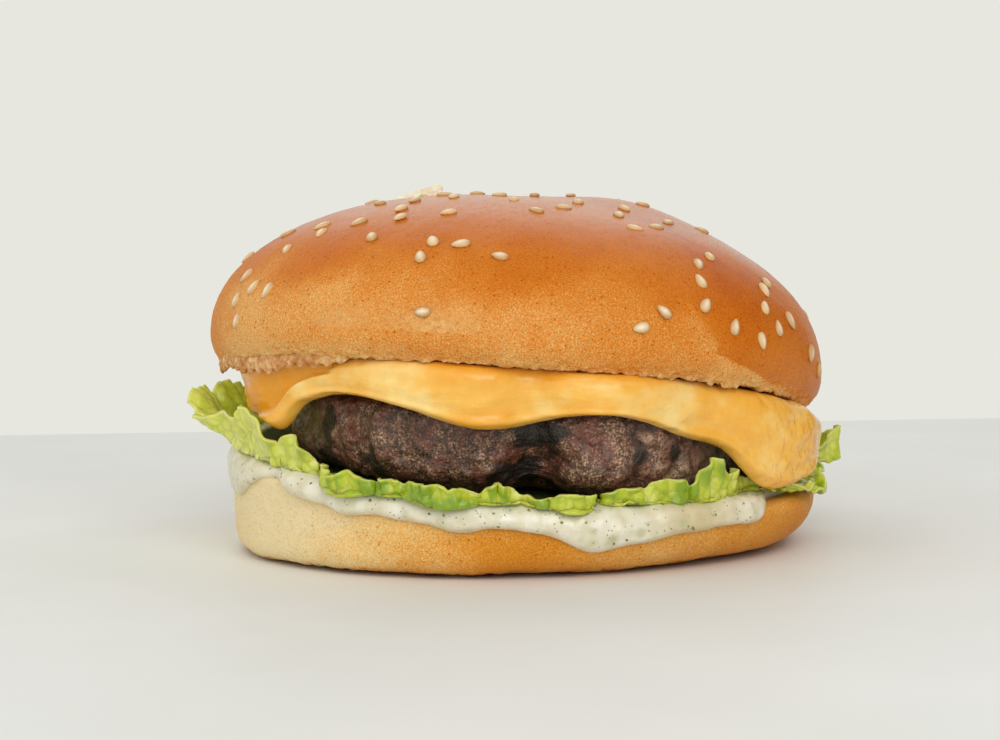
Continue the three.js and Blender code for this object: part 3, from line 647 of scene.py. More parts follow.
HEEL_BROWNS = {0.42: (226, 158, 70), 0.62: (212, 134, 30), 0.82: (196, 112, 8), 1: (172, 84, 4)}
closed_piece(
    "bun_heel_crust",
    heel_grid,
    crust_finish("heel_crust", 0.3, HEEL_BROWNS),
    "heel_crust",
    "bun_heel",
    baked=heel_bake_and_painted_light,
    crumb=heel_crumb,
    wash=smooth(heel_bake_and_painted_light, 0.3, 0.8) * 0.5,
)

# %% [markdown]
# ## The herb sauce
# The sauce was spoon-spread on the cut face and pushed over the rim by the weight above. It
# runs down in tongues, each ending in a fat rounded lip. A fluid simulation could pour it,
# but the tongues would end where the solver likes. A sheet that follows the heel's skin, with
# its drop given by bumps, puts each tongue where we want it.

# %% The sauce's drop and thickness
SAUCE = {
    "thickness": 1.42,
    "lip": 0.55,  # how much thicker the lip is
    "edge": 1.5,  # width of the rounded edge
    "under_leaf": 0.8,  # how much further it swells further in
    "sunk": 0.5,  # how deep its hidden inner side lies in the bread
}
SAUCE_DROPS = [
    (-165, 4.6, 12), (-121, 0.9, 12), (-101, 1.2, 10), (-75.5, 4.0, 9), (-60, 0.8, 10),
    (-45, 0.6, 8), (38, 2.2, 14), (84, 4.4, 11), (132, 1.6, 12),
]
SAUCE_SHORTFALLS = [(-30, 0.09, 8.5), (-8, 0.13, 14), (-147, 0.045, 6)]  # shares of the reach
SAUCE_THIN = [(178, 0.5, 34)]  # where it is thinner, as a share


def sauce_drop(bearing):
    """How far the sauce hangs below the rounded rim: never less than 0.8 mm."""
    ripple = 0.35 * np.sin(np.radians(bearing) * 17 + 1) + 0.25 * np.sin(np.radians(bearing) * 31)
    return np.maximum(0.8, 0.3 + bumps_at(SAUCE_DROPS, bearing) + ripple)


def sauce_grid(columns):
    """Under the sauce from the axis to the hanging edge, then back over it with a thickness
    that rounds off at the edge like a quarter circle, swells to a lip, and is greater under the
    leaves."""
    turn = bearings(columns)
    reach = heel_radius(turn) - HEEL["top_edge"] + round_part + sauce_drop(turn)
    reach = reach * (1 - bumps_at(SAUCE_SHORTFALLS, turn))
    walked = column((0, 0.7, 6), (0.72, 1, 66)) * reach
    r, z, out, up = over_heel(turn, walked)
    from_edge = reach - walked
    skin = polar(turn, r, z)
    edge = SAUCE["edge"]
    rim_shape = np.sqrt(1 - (1 - np.clip(from_edge / edge, 0, 1)) ** 2)
    lip = SAUCE["lip"] * bell(from_edge, edge, edge)
    body = SAUCE["thickness"] + lip + 0.36 * rough(skin, 5, 41) + 0.20 * rough(skin, 1.6, 43)
    body = body + SAUCE["under_leaf"] * smooth(from_edge, 1.4, 3.6)
    lift = rim_shape * body * (1 - out * bumps_at(SAUCE_THIN, turn))
    over = polar(turn, r + lift * out, z + lift * up)
    inside = polar(turn, r - SAUCE["sunk"] * out, z - SAUCE["sunk"] * up)
    return np.concatenate([inside, over[::-1][1:]])


sauce = sauce_grid(620)
print("sauce reaches down to", round(float(sauce[..., 2].min()), 1), "mm")

# %% [markdown]
# A cream sauce is nearly white, a little yellower and darker in two stretches, and wet. Chopped
# herbs show as small dark green flecks, and as soft grey-green shadows where they lie under the
# surface.

# %% The sauce finish
def sauce_finish():
    """Cream with chopped bits, tiny specks and deep-lying shadows of herb: all near random
    points, and each kind only where a noise allows it."""
    cream = Finish(
        "sauce",
        Roughness=0.3,
        Coat_Weight=0.35,
        Coat_Roughness=0.12,
        Subsurface_Weight=0.12,
        Subsurface_Scale=1.5 * MM,
    )
    base = cream.ramp(cream.noise(3.5, 3), {0.3: (212, 204, 170), 0.65: (236, 231, 212)})
    bits = cream.spots(1.6) + 0.3 * cream.noise(0.35, 2)
    sharp = (1 - bits.between(0.26, 0.38)) * cream.noise(2.1, 1).between(0.5, 0.56)
    tiny = cream.dots(0.9, 0.12, 0.24) * cream.noise(1.4, 1).between(0.53, 0.58)
    deep = cream.dots(3.4, 0.12, 0.40) * cream.noise(4.3, 1).between(0.46, 0.56)
    herb = cream.ramp(cream.noise(1.0, 1), {0.4: (70, 84, 46), 0.6: (122, 126, 70)})
    # yellower and darker where the thin mask is high
    base = cream.mix(cream.mask("thin") * 0.85, base, (206, 188, 140))
    colour = cream.mix(deep * 0.5, base, (170, 176, 128))
    colour = cream.mix(tiny * 0.8, cream.mix(sharp, colour, herb), herb)
    return cream.done(
        Base_Color=colour, Normal=cream.bump(cream.noise(1.6, 2), 0.12, cream.bump(sharp, 0.08))
    )


SAUCE_YELLOWER = [(-57, 1.0, 8), (-170, 0.5, 22)]  # where the cream is yellower and darker
thin = bumps_at(SAUCE_YELLOWER, bearing_of(sauce))
closed_piece("herb_sauce_spread", sauce, sauce_finish(), "sauce", "herb_sauce", thin=thin)

# %% [markdown]
# ## The lettuce
# A lettuce leaf grows faster at its edge than in its middle, so the edge has to fold into
# ruffles, and the ruffles carry smaller ruffles. We lay the leaf flat under the patty and
# add waves that grow towards the edge, first the large ones, then finer and finer. Cloth
# simulation can make such folds too, but it is slow and hard to steer.

# %% The frills of the leaves
LEAVES = {  # the bearings at which the lobes of each leaf meet, from end to end
    "lettuce_left": [118, 128, 139, 150, 162, 176, 190, 203, 216, 225.5],
    "lettuce_front": [227, 242.5, 248, 262, 269.5, 274, 283.5],
    "lettuce_right": [284.5, 293, 302.5, 312.5, 320, 328, 337, 346, 358, 377, 387, 396],
    "lettuce_back": [38, 48, 59, 70, 80, 92, 103, 116],
}
FRILL = {"turn_up": 49.8, "bulge": 3.9, "top": 2.9, "tip": 4.2}
BULGES = [  # how much further out the frill bulges
    (-125, 3.6, 8), (-105, 3.4, 10), (-81, 3.2, 7), (-38, -4, 7), (-22, 2.6, 10), (9, 8.0, 6),
    (188, 2, 16),
]
SAGS = [  # how far it sags over the rim there
    (-124, 2.1, 7.5), (-105, 1.6, 9), (-81, 1.3, 6), (-140, 0.6, 6), (-50, 0.8, 8),
    (-20, 0.4, 10),
]
TOPS = [  # how much higher its edge stands
    (-124, -0.9, 7), (-105, -0.7, 8), (-88, -1.6, 3.5), (-67, 1.2, 8), (-52, 4.4, 5.5),
    (-43, 1.4, 3.5), (-22, -3.9, 13), (8, 3.3, 7), (170, 5.6, 9), (186, 5, 9), (207, 6, 9),
    (221, 3.8, 5),
]
TIPS = [  # how much further out its edge leans
    (-125, 3.4, 8), (-105, 3.2, 10), (-81, 3, 7), (-38, -4.4, 7), (-20, 4, 12), (9, 7.4, 7),
    (172, 4.4, 10), (188, 8.4, 11), (209, 3.4, 8),
]
DIPS = [(-26, 0.5, 14)]  # where there is no sauce to lie on
LEAF_PAINTED_LIGHT_AND_SHADE = [(190, 0.9, 30), (-114, -0.5, 20), (-62, -0.25, 12)]  # painted light and shade: the left leaf painted paler, stretches at the front painted deeper


def frill(bearing, share, lobe, ends):
    """Radius and height: over a quarter of an ellipse out and down to the bulge, and from there
    up to an edge that is uneven by random lumps. All grow with the lobe and shrink at the ends."""
    bulge = (FRILL["bulge"] + bumps_at(BULGES, bearing)) * ends + 0.9 * (lobe - 0.6)
    sag = bumps_at(SAGS, bearing) * (0.4 + 0.6 * lobe)
    top = (FRILL["top"] + bumps_at(TOPS, bearing)) * (0.58 + 0.42 * lobe) * ends
    line = edge_line(bearing)
    top = top + 0.6 * lumps(line, 2.6, 51) + 0.15 * lumps(line, 0.9, 52)
    tip = (FRILL["tip"] + bumps_at(TIPS, bearing)) * ends + 1.3 * (lobe - 0.6)
    quarter = np.minimum(share, 0.5) * math.pi
    upward = np.maximum(0, 2 * share - 1)
    radius = FRILL["turn_up"] + bulge * np.sin(quarter) + (tip - bulge) * upward**2
    height = -sag * (1 - np.cos(quarter)) + (top + sag) * upward**1.2
    return radius, height


def edge_line(bearing, share=0):
    """Bearings laid out straight, in mm along the leaf's edge, with the share up the frill drawn
    short, so that lumps taken there are long up the frill and narrow across it."""
    return points_at(np.radians(bearing) * LEAF["edge_radius"], 5 * share, 7 * share)


def crumpled(bearing, share):
    """Creases, pleats and folds in mm inwards, each stronger from its own share upwards."""
    line = edge_line(bearing)
    narrow = edge_line(bearing, share)
    creases = 0.7 * (0.5 - np.abs(lumps(narrow, 2.8, 55))) * smooth(share, 0.15, 0.6)
    pleats = np.sin(line[..., 0] / 0.7 + 5 * lumps(line, 4, 57) + 1.4 * share)
    folds = 0.9 * lumps(narrow, 3.4, 58) * smooth(share, 0.3, 0.8)
    return creases + 0.62 * pleats * smooth(share, 0.4, 1) + folds


print("first lobes of the front leaf:", LEAVES["lettuce_front"][:3])

# %% [markdown]
# The leaf lies on the sauce. Where it is flat that is no trouble, but over the round shoulder of
# the sauce it has to be lifted, so each point is put at least as high as the sauce is there.

# %% The sauce that carries the leaves
def sauce_there(bearing):
    """1 where the sauce reaches the rim and 0 where it stops short of it."""
    return 1 - smooth(bumps_at(SAUCE_SHORTFALLS, bearing), 0.07, 0.1)


def over_sauce(bearing, radius):
    """The least height of a leaf: over the sauce's flat part, and over its round shoulder."""
    flat = heel_radius(bearing) - HEEL["top_edge"]
    shoulder = HEEL["top_edge"] + 0.2 + 1.5 * sauce_there(bearing)
    out = np.clip(radius - flat, 0, shoulder)
    p = polar(bearing, radius)
    over = heel_top(p) - HEEL["top_edge"] + 0.5
    return np.where(radius - flat >= shoulder, 0, over + np.sqrt(shoulder**2 - out**2))


print("sauce at the front:", float(sauce_there(-90)), "and at the right:", float(sauce_there(-8)))

# %% [markdown]
# Now a leaf can be put together. Between its veins the real leaf is blistered, so we take the
# distance to the nearest of random points and push the surface out where it is small.

# %% A whole leaf
def leaf_grid(notches, columns, flat_rows, frill_rows):
    """Flat as far as the turn-up, then the frill. Each lobe swells like a sine between two
    notches. Gives the points and three masks: towards the edge, on a blister, and a tone for
    the folds with painted light and shade along some stretches."""
    bearing = np.linspace(notches[0], notches[-1], columns)[None, :]
    lobe = np.sin(math.pi * (np.interp(bearing, notches, range(len(notches))) % 1)) ** 0.45
    ends = 1 - 0.5 * np.abs(np.linspace(-1, 1, columns)[None, :]) ** 9
    share = column((0, 1, frill_rows))
    radius, height = frill(bearing, share, lobe, ends)
    flat = np.linspace(0, 1, flat_rows, endpoint=False)[:, None]
    flat_radius = LEAF["start"] + (FRILL["turn_up"] - LEAF["start"]) * flat + 0 * bearing
    radius = np.concatenate([flat_radius, radius])
    height, creases, edge = (
        np.concatenate([0 * flat_radius, part])
        for part in (height, crumpled(bearing, share), share + 0 * bearing)
    )
    p = polar(bearing, radius)
    level = heel_top(p) + LEAF["above_cut"] + height
    level = level - bumps_at(DIPS, bearing) * smooth(radius, 49.5, 53)
    p[..., 2] = np.maximum(level, over_sauce(bearing, radius))
    nearest, second = grains(p, 2.0, 53)
    blister = (0.55 - nearest) * smooth(radius, 40, 52)
    out = np.cross(np.gradient(p, axis=1), np.gradient(p, axis=0))
    out /= np.maximum(np.linalg.norm(out, axis=-1, keepdims=True), 1e-9)
    p -= out * (creases - 0.75 * blister)[..., None]
    # the folds' tone, plus painted light and shade: the left leaf is painted paler where it lies
    # in shade, stretches at the front deeper
    fold = smooth(creases, -0.9, 1.0) + bumps_at(LEAF_PAINTED_LIGHT_AND_SHADE, bearing)
    return p, edge, smooth(second - nearest, 0.0, 0.35), fold


print("a small leaf's grid:", leaf_grid([0, 10, 20], 30, 4, 6)[0].shape)

# %% [markdown]
# Lettuce is thin and lets light through. Its yellow green is painted deeper in the creases
# between the blisters, as painted shade, and paler on the folds and at the torn edge, with
# painted light and shade along some stretches. Where the leaf goes in under the patty and
# little light reaches it, it is painted dark, as painted shade.

# %% The leaf finish
def leaf_finish():
    """Green by a noise and the folds, deeper in the creases between blisters as painted shade,
    paler at the edge, and dark under the patty as painted shade."""
    leaf = Finish(
        "leaf",
        Coat_Roughness=0.15,
        Subsurface_Weight=0.7,
        Subsurface_Scale=2.0 * MM,
        Subsurface_Radius=(0.8, 1.0, 0.25),
    )
    tone = 0.5 * leaf.noise(4, 3) + 0.5 * leaf.mask("fold")
    green = leaf.ramp(tone, {0.25: (134, 164, 14), 0.5: (196, 208, 50), 0.8: (230, 238, 116)})
    painted_crease_shade = 1 - leaf.mask("blister")
    under = leaf.mask("under")
    # painted shade: the creases between the blisters are painted deeper green
    colour = leaf.mix(painted_crease_shade * 0.35, green, (144, 170, 26))
    # painted shade: the leaf is painted dark green where it goes in under the patty
    colour = leaf.mix(under, colour, (70, 84, 22))
    colour = leaf.mix(leaf.mask("edge") * 0.6, colour, (214, 220, 116))
    fine = leaf.bump(leaf.noise(0.5, 3), 0.1)
    return leaf.done(
        Base_Color=colour,
        Roughness=0.34 + 0.66 * under,
        Coat_Weight=0.35 * (1 - under),
        Normal=leaf.bump(leaf.noise(1.2, 2), 0.22, fine),
    )


leaf_green = leaf_finish()
for leaf_name, notches in LEAVES.items():
    span = notches[-1] - notches[0]
    grid, toward_edge, blister, fold = leaf_grid(notches, int(span * 5), 16, 56)
    leaf = make_piece(
        leaf_name + "_leaf",
        flat_sheet(grid),
        leaf_green,
        "leaf",
        leaf_name,
        edge=smooth(toward_edge, 0.93, 1),
        under=1 - smooth(toward_edge, 0, 0.12),
        blister=blister,
        fold=fold,
    )
    thicken(leaf, LEAF["wall"])

# %% [markdown]
# ## The beef patty
# A hand-formed patty is minced beef pressed into a thick disc. Its side shows the mince as
# packed crumbs in several sizes, wet with fat, with darker char where it touched the grill,
# and it cracked into two lobes at the front. Sculpting such a surface takes hours; packed
# random grains in three sizes give it at once.

# %% The patty's shape
PATTY_LUMPS = [
    (-88, -3.4, 7), (-70, 1.2, 11), (-118, 1.0, 14), (-30, -1.6, 12), (35, 1.5, 15),
    (75, -1.4, 9), (120, 1.3, 14), (165, -1.2, 10),
]


def patty_radius(bearing):
    """An oval's radius, plus the lumps, plus a gentle unevenness."""
    a = np.radians(bearing)
    oval = 1 / np.hypot(np.cos(a) / PATTY["half_width"], np.sin(a) / PATTY["half_depth"])
    return oval + bumps_at(PATTY_LUMPS, bearing) + 0.5 * uneven(bearing, 2.1)


print("patty at the cleft:", round(float(patty_radius(-88)), 1), "mm from the axis")

# %% [markdown]
# The patty fills what the heel, the leaf and the cheese leave between them: its underside and
# its top follow the two cut faces, a hair's breadth away from its neighbours.

# %% The patty's grid
def patty_grid(columns, rises):
    """From the underside, rise -1, round a squarish side to the top, rise 1; squarer below."""
    bearing = bearings(columns)
    power = np.where(rises > 0, PATTY["over"], PATTY["under"])
    inward = (1 - np.abs(rises) ** power) ** (1 / power)
    p = polar(bearing, patty_radius(bearing) * inward)
    p[..., 1] -= PATTY["forward"]
    low = heel_top(p) + LEAF["above_cut"] + LEAF["thickness"] / 2
    low = low + 1.4 * CLEAR
    high = cut_at(CROWN_CUT, p) - CHEESE["thickness"] - 2.4 * CLEAR
    lump = 0.5 * (1 - rises**2) * uneven(bearing * 3, rises * 4)
    p[..., 2] = (low + high) / 2 + rises * (high - low) / 2 + lump
    return p


rises = np.sin(column((-math.pi / 2, math.pi / 2, 132)))
beef_grid = patty_grid(720, rises)
print("patty grid:", beef_grid.shape[0], "rows of", beef_grid.shape[1])

# %% [markdown]
# Three sizes of grains pack into mince, and two layers of lumps press it into a hand-made
# disc. Cracks run where two large grains are equally near; they and the gaps between grains are
# painted darker, as painted shade. A mask chars the upper rim, which lay nearest the fire, and a
# few burnt spots; one near-black spot low in the cleft is painted shade.

# %% The mince relief and its masks
mounds, mounds_second = grains(beef_grid, 4.6, 61)
crumbs, _ = grains(beef_grid, 2.1, 65)
fine_crumbs, _ = grains(beef_grid, 0.9, 69)
crack = smooth(0.14 - (mounds_second - mounds), 0, 0.14)
beef_relief = (
    0.22 * (0.35 - mounds**2)
    + 0.16 * (0.35 - crumbs**2)
    + 0.16 * (0.5 - fine_crumbs)
    + 0.95 * rough(beef_grid, 8, 71, 2)
    + 0.42 * rough(beef_grid, 2.6, 75, 4)
)
beef_facing = bearing_of(beef_grid)
CLEFT = [(-87, 3.2, 6.5)]  # where the two front lobes part, low down
beef_relief -= bumps_at(CLEFT, beef_facing) * smooth(-rises, -0.3, 0.5)
off_poles = smooth(1 - np.abs(rises), 0, 0.05)
beef_grid = raised(beef_grid, beef_relief * off_poles)
# burnt spots on the left end; the spot at -88, low in the cleft, is painted shade
BURNT_AND_CLEFT_SHADE_SPOTS = [(-150, 0.5, 4), (-139, 0.15, 2.6), (-141, -0.75, 3.5), (-88, -0.6, 6)]
burnt_and_cleft_shade_spots = sum(  # each a bearing, a rise and a spread
    bumps_at([(at, 1, wide)], beef_facing) * bell(rises, high, 0.22)
    for at, high, wide in BURNT_AND_CLEFT_SHADE_SPOTS
)
char = rough(beef_grid, 5, 81) + 0.7 * smooth(rises, 0.5, 0.95) + 1.2 * burnt_and_cleft_shade_spots
# painted light: the patty is painted lighter where it lies in the cheese's shade and at its shaded
# left end
PAINTED_LIGHT_ON_BEEF = [(-60, 0.9, 15), (-42, 2.4, 8), (-147, 1.6, 13)]
pale = bumps_at(PAINTED_LIGHT_ON_BEEF, beef_facing) * (1 - smooth(rises, 0.3, 0.8))
print("beef relief from", round(beef_relief.min(), 2), "to", round(beef_relief.max(), 2))

# %% [markdown]
# Browned beef is a dark grey brown with redder grains, nearly black where it charred. It
# glistens because each tiny crumb is wet: a low roughness over a fine strong bump breaks the
# light into many small sparks. Small pale dots are painted glints on top of that, and the fine
# pale grains of the ramp partly stand for glints too. Cracks between grains are painted darker
# as painted shade, and the meat is painted lighter and redder where it lies in shade.

# %% The beef finish
# the lightest stop gives fine pale grains that partly stand in for wet glints, as painted glints
BEEF_BROWNS = {0.36: (38, 24, 17), 0.47: (90, 58, 42), 0.57: (134, 96, 72), 0.68: (208, 176, 148)}


def beef_finish():
    """Brown and red meat in soft patches, lighter and redder as painted light where it lies in
    shade, pale dots as painted glints, cracks near black as painted shade, near black where
    charred, wet and finely bumped.
    """
    beef = Finish("beef", Roughness=0.36, Coat_Weight=0.15, Coat_Roughness=0.16)
    # painted light: the pale mask lightens the meat here, and below makes it redder, where it lies
    # in shade
    patches = 0.32 * beef.noise(2.2, 4) + 0.68 * beef.noise(0.42, 3) + 0.14 * beef.mask("pale")
    brown = beef.ramp(patches, BEEF_BROWNS)
    red = (beef.noise(4.5, 3) + 0.12 * beef.mask("pale")).between(0.46, 0.64)
    colour = beef.mix(red * 0.6, brown, (122, 60, 46))
    # painted glints: small pale dots stand in for the sparkle of wet crumbs
    painted_glints = beef.dots(0.8, 0.1, 0.28) * beef.noise(1.7, 2).between(0.48, 0.6)
    colour = beef.mix(painted_glints * 0.6, colour, (206, 176, 140))
    # painted shade: cracks and gaps between the grains are painted near black
    colour = beef.mix(beef.mask("pit") * 0.55, colour, (30, 20, 16))
    # near black where charred, and as painted shade in the cleft
    colour = beef.mix(beef.mask("char") * 0.88, colour, (22, 20, 20))
    coarse_bump = beef.bump(beef.noise(0.9, 3), 0.35)
    return beef.done(
        Base_Color=colour,
        Roughness=0.14 + 0.4 * beef.noise(1.3, 2),
        Normal=beef.bump(beef.noise(0.3, 2), 0.24, coarse_bump),
    )


closed_piece(
    "beef_patty_mince",
    beef_grid,
    beef_finish(),
    "beef",
    "beef_patty",
    char=smooth(char, 0.35, 0.85),
    pale=pale,
    pit=np.clip(crack + smooth(crumbs, 0.72, 1), 0, 1),
)

# %% [markdown]
# ## The melted cheese
# The slice was laid on the hot patty and sagged over its edge. Its corners hang lowest, it
# flows outwards where nothing holds it, and its lower edge is a thick rounded lip. Soft-body
# simulation could melt a square slice, but the lobes would fall where they like; a drape with
# its drop given by bumps follows the lobes we want.

# %% The cheese's shape
CHEESE_BASE_DROP = 6
CHEESE_DROPS = [
    (-153, 6.0, 12.5), (-146.5, 2.4, 3.8), (-98, 4.7, 15.5), (-53, 3.8, 12.5), (-37, 4.7, 7.8),
    (-28, 8.1, 13), (58, 2.0, 16), (122, 2.6, 14),
]
CHEESE_ROUNDER = [(-8, -2.4, 26)]  # where the shoulder is rounder
CHEESE_FLOWS = [(-12, 6.4, 20), (-30, 6, 16), (-90, 1.0, 34), (-160, 6.6, 24), (118, 2.0, 16)]


def cheese_point(bearing, share, inset):
    """Share 0 to 1 runs from the middle over a squarish shoulder to the knee, 1 to 2 down the
    skirt; inset 0 is the outer face and 1 the inner face, one thickness further in."""
    drop = CHEESE_BASE_DROP + bumps_at(CHEESE_DROPS, bearing)
    knee = CHEESE_KNEE["least"] + CHEESE_KNEE["share"] * drop
    power = 2 / (CHEESE["squareness"] + bumps_at(CHEESE_ROUNDER, bearing))
    level, outward_share = quarter_round(np.minimum(share, 1), power)
    hung = np.maximum(0, share - 1)
    thin = CHEESE["thickness"]
    thick = thin + (CHEESE["skirt"] - thin) * smooth(share, 0.6, 1)
    reach = patty_radius(bearing) + CHEESE["ledge"] + bumps_at(CHEESE_FLOWS, bearing)
    reach = reach - inset * thick * smooth(share, 0.3, 0.9)
    radius = reach * outward_share - 1.0 * hung**2
    p = polar(bearing, radius)
    p[..., 1] -= PATTY["forward"]
    fall = knee * (1 - level) + (drop - knee) * hung
    under = inset * thick * (1 - smooth(share, 0.75, 1))
    p[..., 2] = cut_at(CROWN_CUT, p) - CLEAR - fall - under
    return p


middle_drop = CHEESE_BASE_DROP + bumps_at(CHEESE_DROPS, -28)
print("the thick drip hangs", round(float(middle_drop), 1), "mm below the cheese's top")

# %% [markdown]
# The grid goes out along the inner face, round the lip and back over the outer face. The
# rows lie closest on the outer skirt, the part that is seen.

# %% The cheese's grid
turn = bearings(640)
inner_shares = column((0, 0.9, 10), (0.95, 1.75, 14))
lip_insets = column((0.95, 0.05, 15))
outer_shares = column((1.86, 0.84, 88), (0.8, 0, 16))
cheese_grid = np.concatenate(
    [
        cheese_point(turn, inner_shares, 1),
        cheese_point(turn, 1.88 + 0.12 * np.sin(math.pi * lip_insets), lip_insets),
        cheese_point(turn, outer_shares, 0),
    ]
)
shares = np.concatenate([inner_shares, 1.88 + 0 * lip_insets, outer_shares])
outer = np.concatenate([0 * inner_shares, 1 - lip_insets, 1 + 0 * outer_shares])
print("cheese grid:", cheese_grid.shape[0], "rows of", cheese_grid.shape[1])

# %% [markdown]
# Melted cheese keeps soft ripples along the way it flowed. On the left a corner of the slice
# folded over, and near the top the crown pressed it up into a low roll.

# %% The cheese's relief
flow = cheese_grid * (0.35, 1, 1.2)  # its lumps are drawn out along x
cheese_facing = bearing_of(cheese_grid)
FOLD = {"at": -129, "share": 0.95, "slope": 0.042}  # a crease from the left down to the corner
past_fold = shares - FOLD["share"] - FOLD["slope"] * (FOLD["at"] - cheese_facing)
in_corner = smooth(-cheese_facing, 124, 130) * smooth(cheese_facing, -178, -165)
tucked = in_corner * (1 - smooth(past_fold, -0.06, 0.06))
cheese_relief = outer * smooth(shares, 0.3, 0.8) * (
    0.40 * rough(flow, 6, 91)
    + 0.08 * rough(flow, 1.4, 95)
    + 0.35 * bell(shares, 1.85, 0.12)
    - 0.9 * tucked * smooth(shares, 0.8, 1.1)
)
pressed = 1.1 * bell(shares, 0.72, 0.16) * outer  # up against the crown's rim
cheese_grid = raised(cheese_grid, cheese_relief)
cheese_grid[..., 2] += pressed
CHEESE_DRIP = [(-24, 1, 17)]  # the thick drip, where the slice wrinkled as it slid
CHEESE_PAINTED_LIGHT_AND_SHADE = [(-116, 0.9, 10), (-98, -0.8, 8), (-57, 0.9, 7), (-44, -0.3, 7)]  # painted highlight where paler, painted shade where deeper
print("cheese relief up to", round(float(cheese_relief.max()), 2), "mm")

# %% [markdown]
# Melted cheese is smooth and a little waxy and lets light some way in. Its lower lip is a
# little deeper in colour. Where it was pulled it has faint streaks, and the thick drip
# wrinkled as it slid; the grooves of its wrinkles are painted deeper, as painted shade. The
# tucked corner and the band under the crown's rim are painted deeper orange, as painted
# shade, and some stretches are painted paler as painted highlight, others deeper as painted
# shade.

# %% The cheese finish
def cheese_finish():
    """Yellow orange with soft patches, streaks stretched along x, painted highlight and shade at
    some bearings, deeper in the tucked corner and under the crown's rim as painted shade, deeper
    at the lip, and wrinkled on the drip with its grooves deeper as painted shade."""
    cheese = Finish(
        "cheese",
        Coat_Roughness=0.2,
        Specular_IOR_Level=0.35,
        Subsurface_Weight=0.25,
        Subsurface_Scale=1.5 * MM,
        Subsurface_Radius=(1.0, 0.55, 0.15),
    )
    streaks = cheese.noise(1.1, 3, cheese.stretched(0.22, 1, 0.8))
    tone = 0.7 * cheese.noise(9, 2) + 0.1 * streaks + 0.2 * cheese.noise(3.2, 2)
    yellows = {0.34: (244, 174, 56), 0.5: (249, 190, 80), 0.68: (255, 218, 136)}
    # painted highlight and shade: the pale mask lightens the cheese at some bearings and deepens
    # it at others
    colour = cheese.ramp(tone + 0.14 * cheese.mask("pale"), yellows)
    # painted shade: the tucked corner and the band under the crown's rim are painted deeper orange
    deep = cheese.mask("deep")
    colour = cheese.mix(deep * 0.9, colour, (228, 150, 0))
    colour = cheese.mix(cheese.mask("lip") * 0.5, colour, (240, 172, 58))
    wrinkles_with_groove_shade = 1 - cheese.noise(1.3, 4, cheese.stretched(1, 1, 0.7)).between(0.34, 0.56)
    wrinkles_with_groove_shade = wrinkles_with_groove_shade * cheese.mask("drip")
    # painted shade: the wrinkles' grooves are painted deeper orange
    colour = cheese.mix(wrinkles_with_groove_shade * 0.18, colour, (240, 160, 48))
    smear = cheese.bump(streaks, 0.04, cheese.bump(1 - wrinkles_with_groove_shade, 0.22))
    return cheese.done(
        Base_Color=colour,
        Roughness=0.18 + 0.16 * cheese.noise(2.5, 3),
        Coat_Weight=0.5 * (1 - deep),
        Normal=cheese.bump(cheese.noise(2.6, 2), 0.2, smear),
    )


closed_piece(
    "cheese_slice_melted",
    cheese_grid,
    cheese_finish(),
    "cheese",
    "cheese_slice",
    # painted shade in the tucked corner and under the crown's rim
    deep=np.clip(tucked + 0.2 * (1 - smooth(shares, 0.9, 1.1)), 0, 1),
    lip=smooth(shares, 1.75, 1.9) * outer,
    drip=bumps_at(CHEESE_DRIP, cheese_facing) * smooth(shares, 0.7, 1.0) * outer,
    # painted highlight and shade at some bearings
    pale=bumps_at(CHEESE_PAINTED_LIGHT_AND_SHADE, cheese_facing) * outer,
)

# %% [markdown]
# ## The bun crown
# The crown rose as a ball and flattened under its own weight: a dome over a full belly that
# draws in to the cut. It was made lying level; a turn and a lift then lay it on the sloping
# cut face. Its rim was torn more than cut, so it is ragged and hangs down in places.

# %% The crown's shape
CRUMB_TEARS = [(187, 2.0, 8), (206, 1.0, 12), (-48, 0.8, 3.5), (-125, 0.4, 5)]
SWELL = {"x": 18.0, "y": 0.0, "size": 2.2, "spread": 15.0}  # where the dome is a little higher


def crown_radius(bearing):
    """An oval's radius with a gentle unevenness of 0.5 mm."""
    a = np.radians(bearing)
    oval = CROWN["radius"] / np.hypot(np.cos(a), np.sin(a) / CROWN["depth_share"])
    return oval + 0.5 * uneven(bearing, 1.3)


def crust_point(bearing, rise):
    """The dome: radius times a power of the cosine and height by a power of the sine of rise,
    with the cut's bend fading upwards and a low swelling on top."""
    fullness, swing = CROWN["fullness"]
    inward, upward = quarter_round(rise, 2 / (fullness + swing * np.cos(np.radians(bearing))))
    p = polar(bearing, crown_radius(bearing) * inward)
    up = (CROWN["height"] - CROWN["belly"]) * upward
    p[..., 2] = CROWN["belly"] + up + bend_at(CROWN_CUT, p) * (1 - rise) + hill_at(SWELL, p)
    return p


def rim_point(bearing, fall):
    """Below the belly: fall 0 is the belly and 1 the rim, drawn in by a power of the fall."""
    drawn = CROWN["undercut"] * fall**2.2
    p = polar(bearing, crown_radius(bearing) - drawn)
    torn = bumps_at(CRUMB_TEARS, bearing) * fall
    p[..., 2] = CROWN["belly"] * (1 - fall) + bend_at(CROWN_CUT, p) - torn
    return p


print("belly at the right:", round(float(crown_radius(0)), 1), "mm from the axis")

# %% [markdown]
# The crown is built level and then laid on the sloping cut. Its points are turned in the mesh
# itself and not by the object's rotation, so that the finished object stays unturned and its
# pattern can't slide.

# %% Laying the crown on the cut
def crown_turn():
    """The turn that takes the upright axis to the cut face's own upright (Rodrigues' formula)."""
    up = np.array([-CROWN_CUT["along_x"], -CROWN_CUT["along_y"], 1.0])
    up = up / np.linalg.norm(up)
    hinge = np.cross([0, 0, 1], up)
    cross = np.array(
        [[0, -hinge[2], hinge[1]], [hinge[2], 0, -hinge[0]], [-hinge[1], hinge[0], 0]]
    )
    return np.eye(3) + cross + cross @ cross / (1 + up[2])


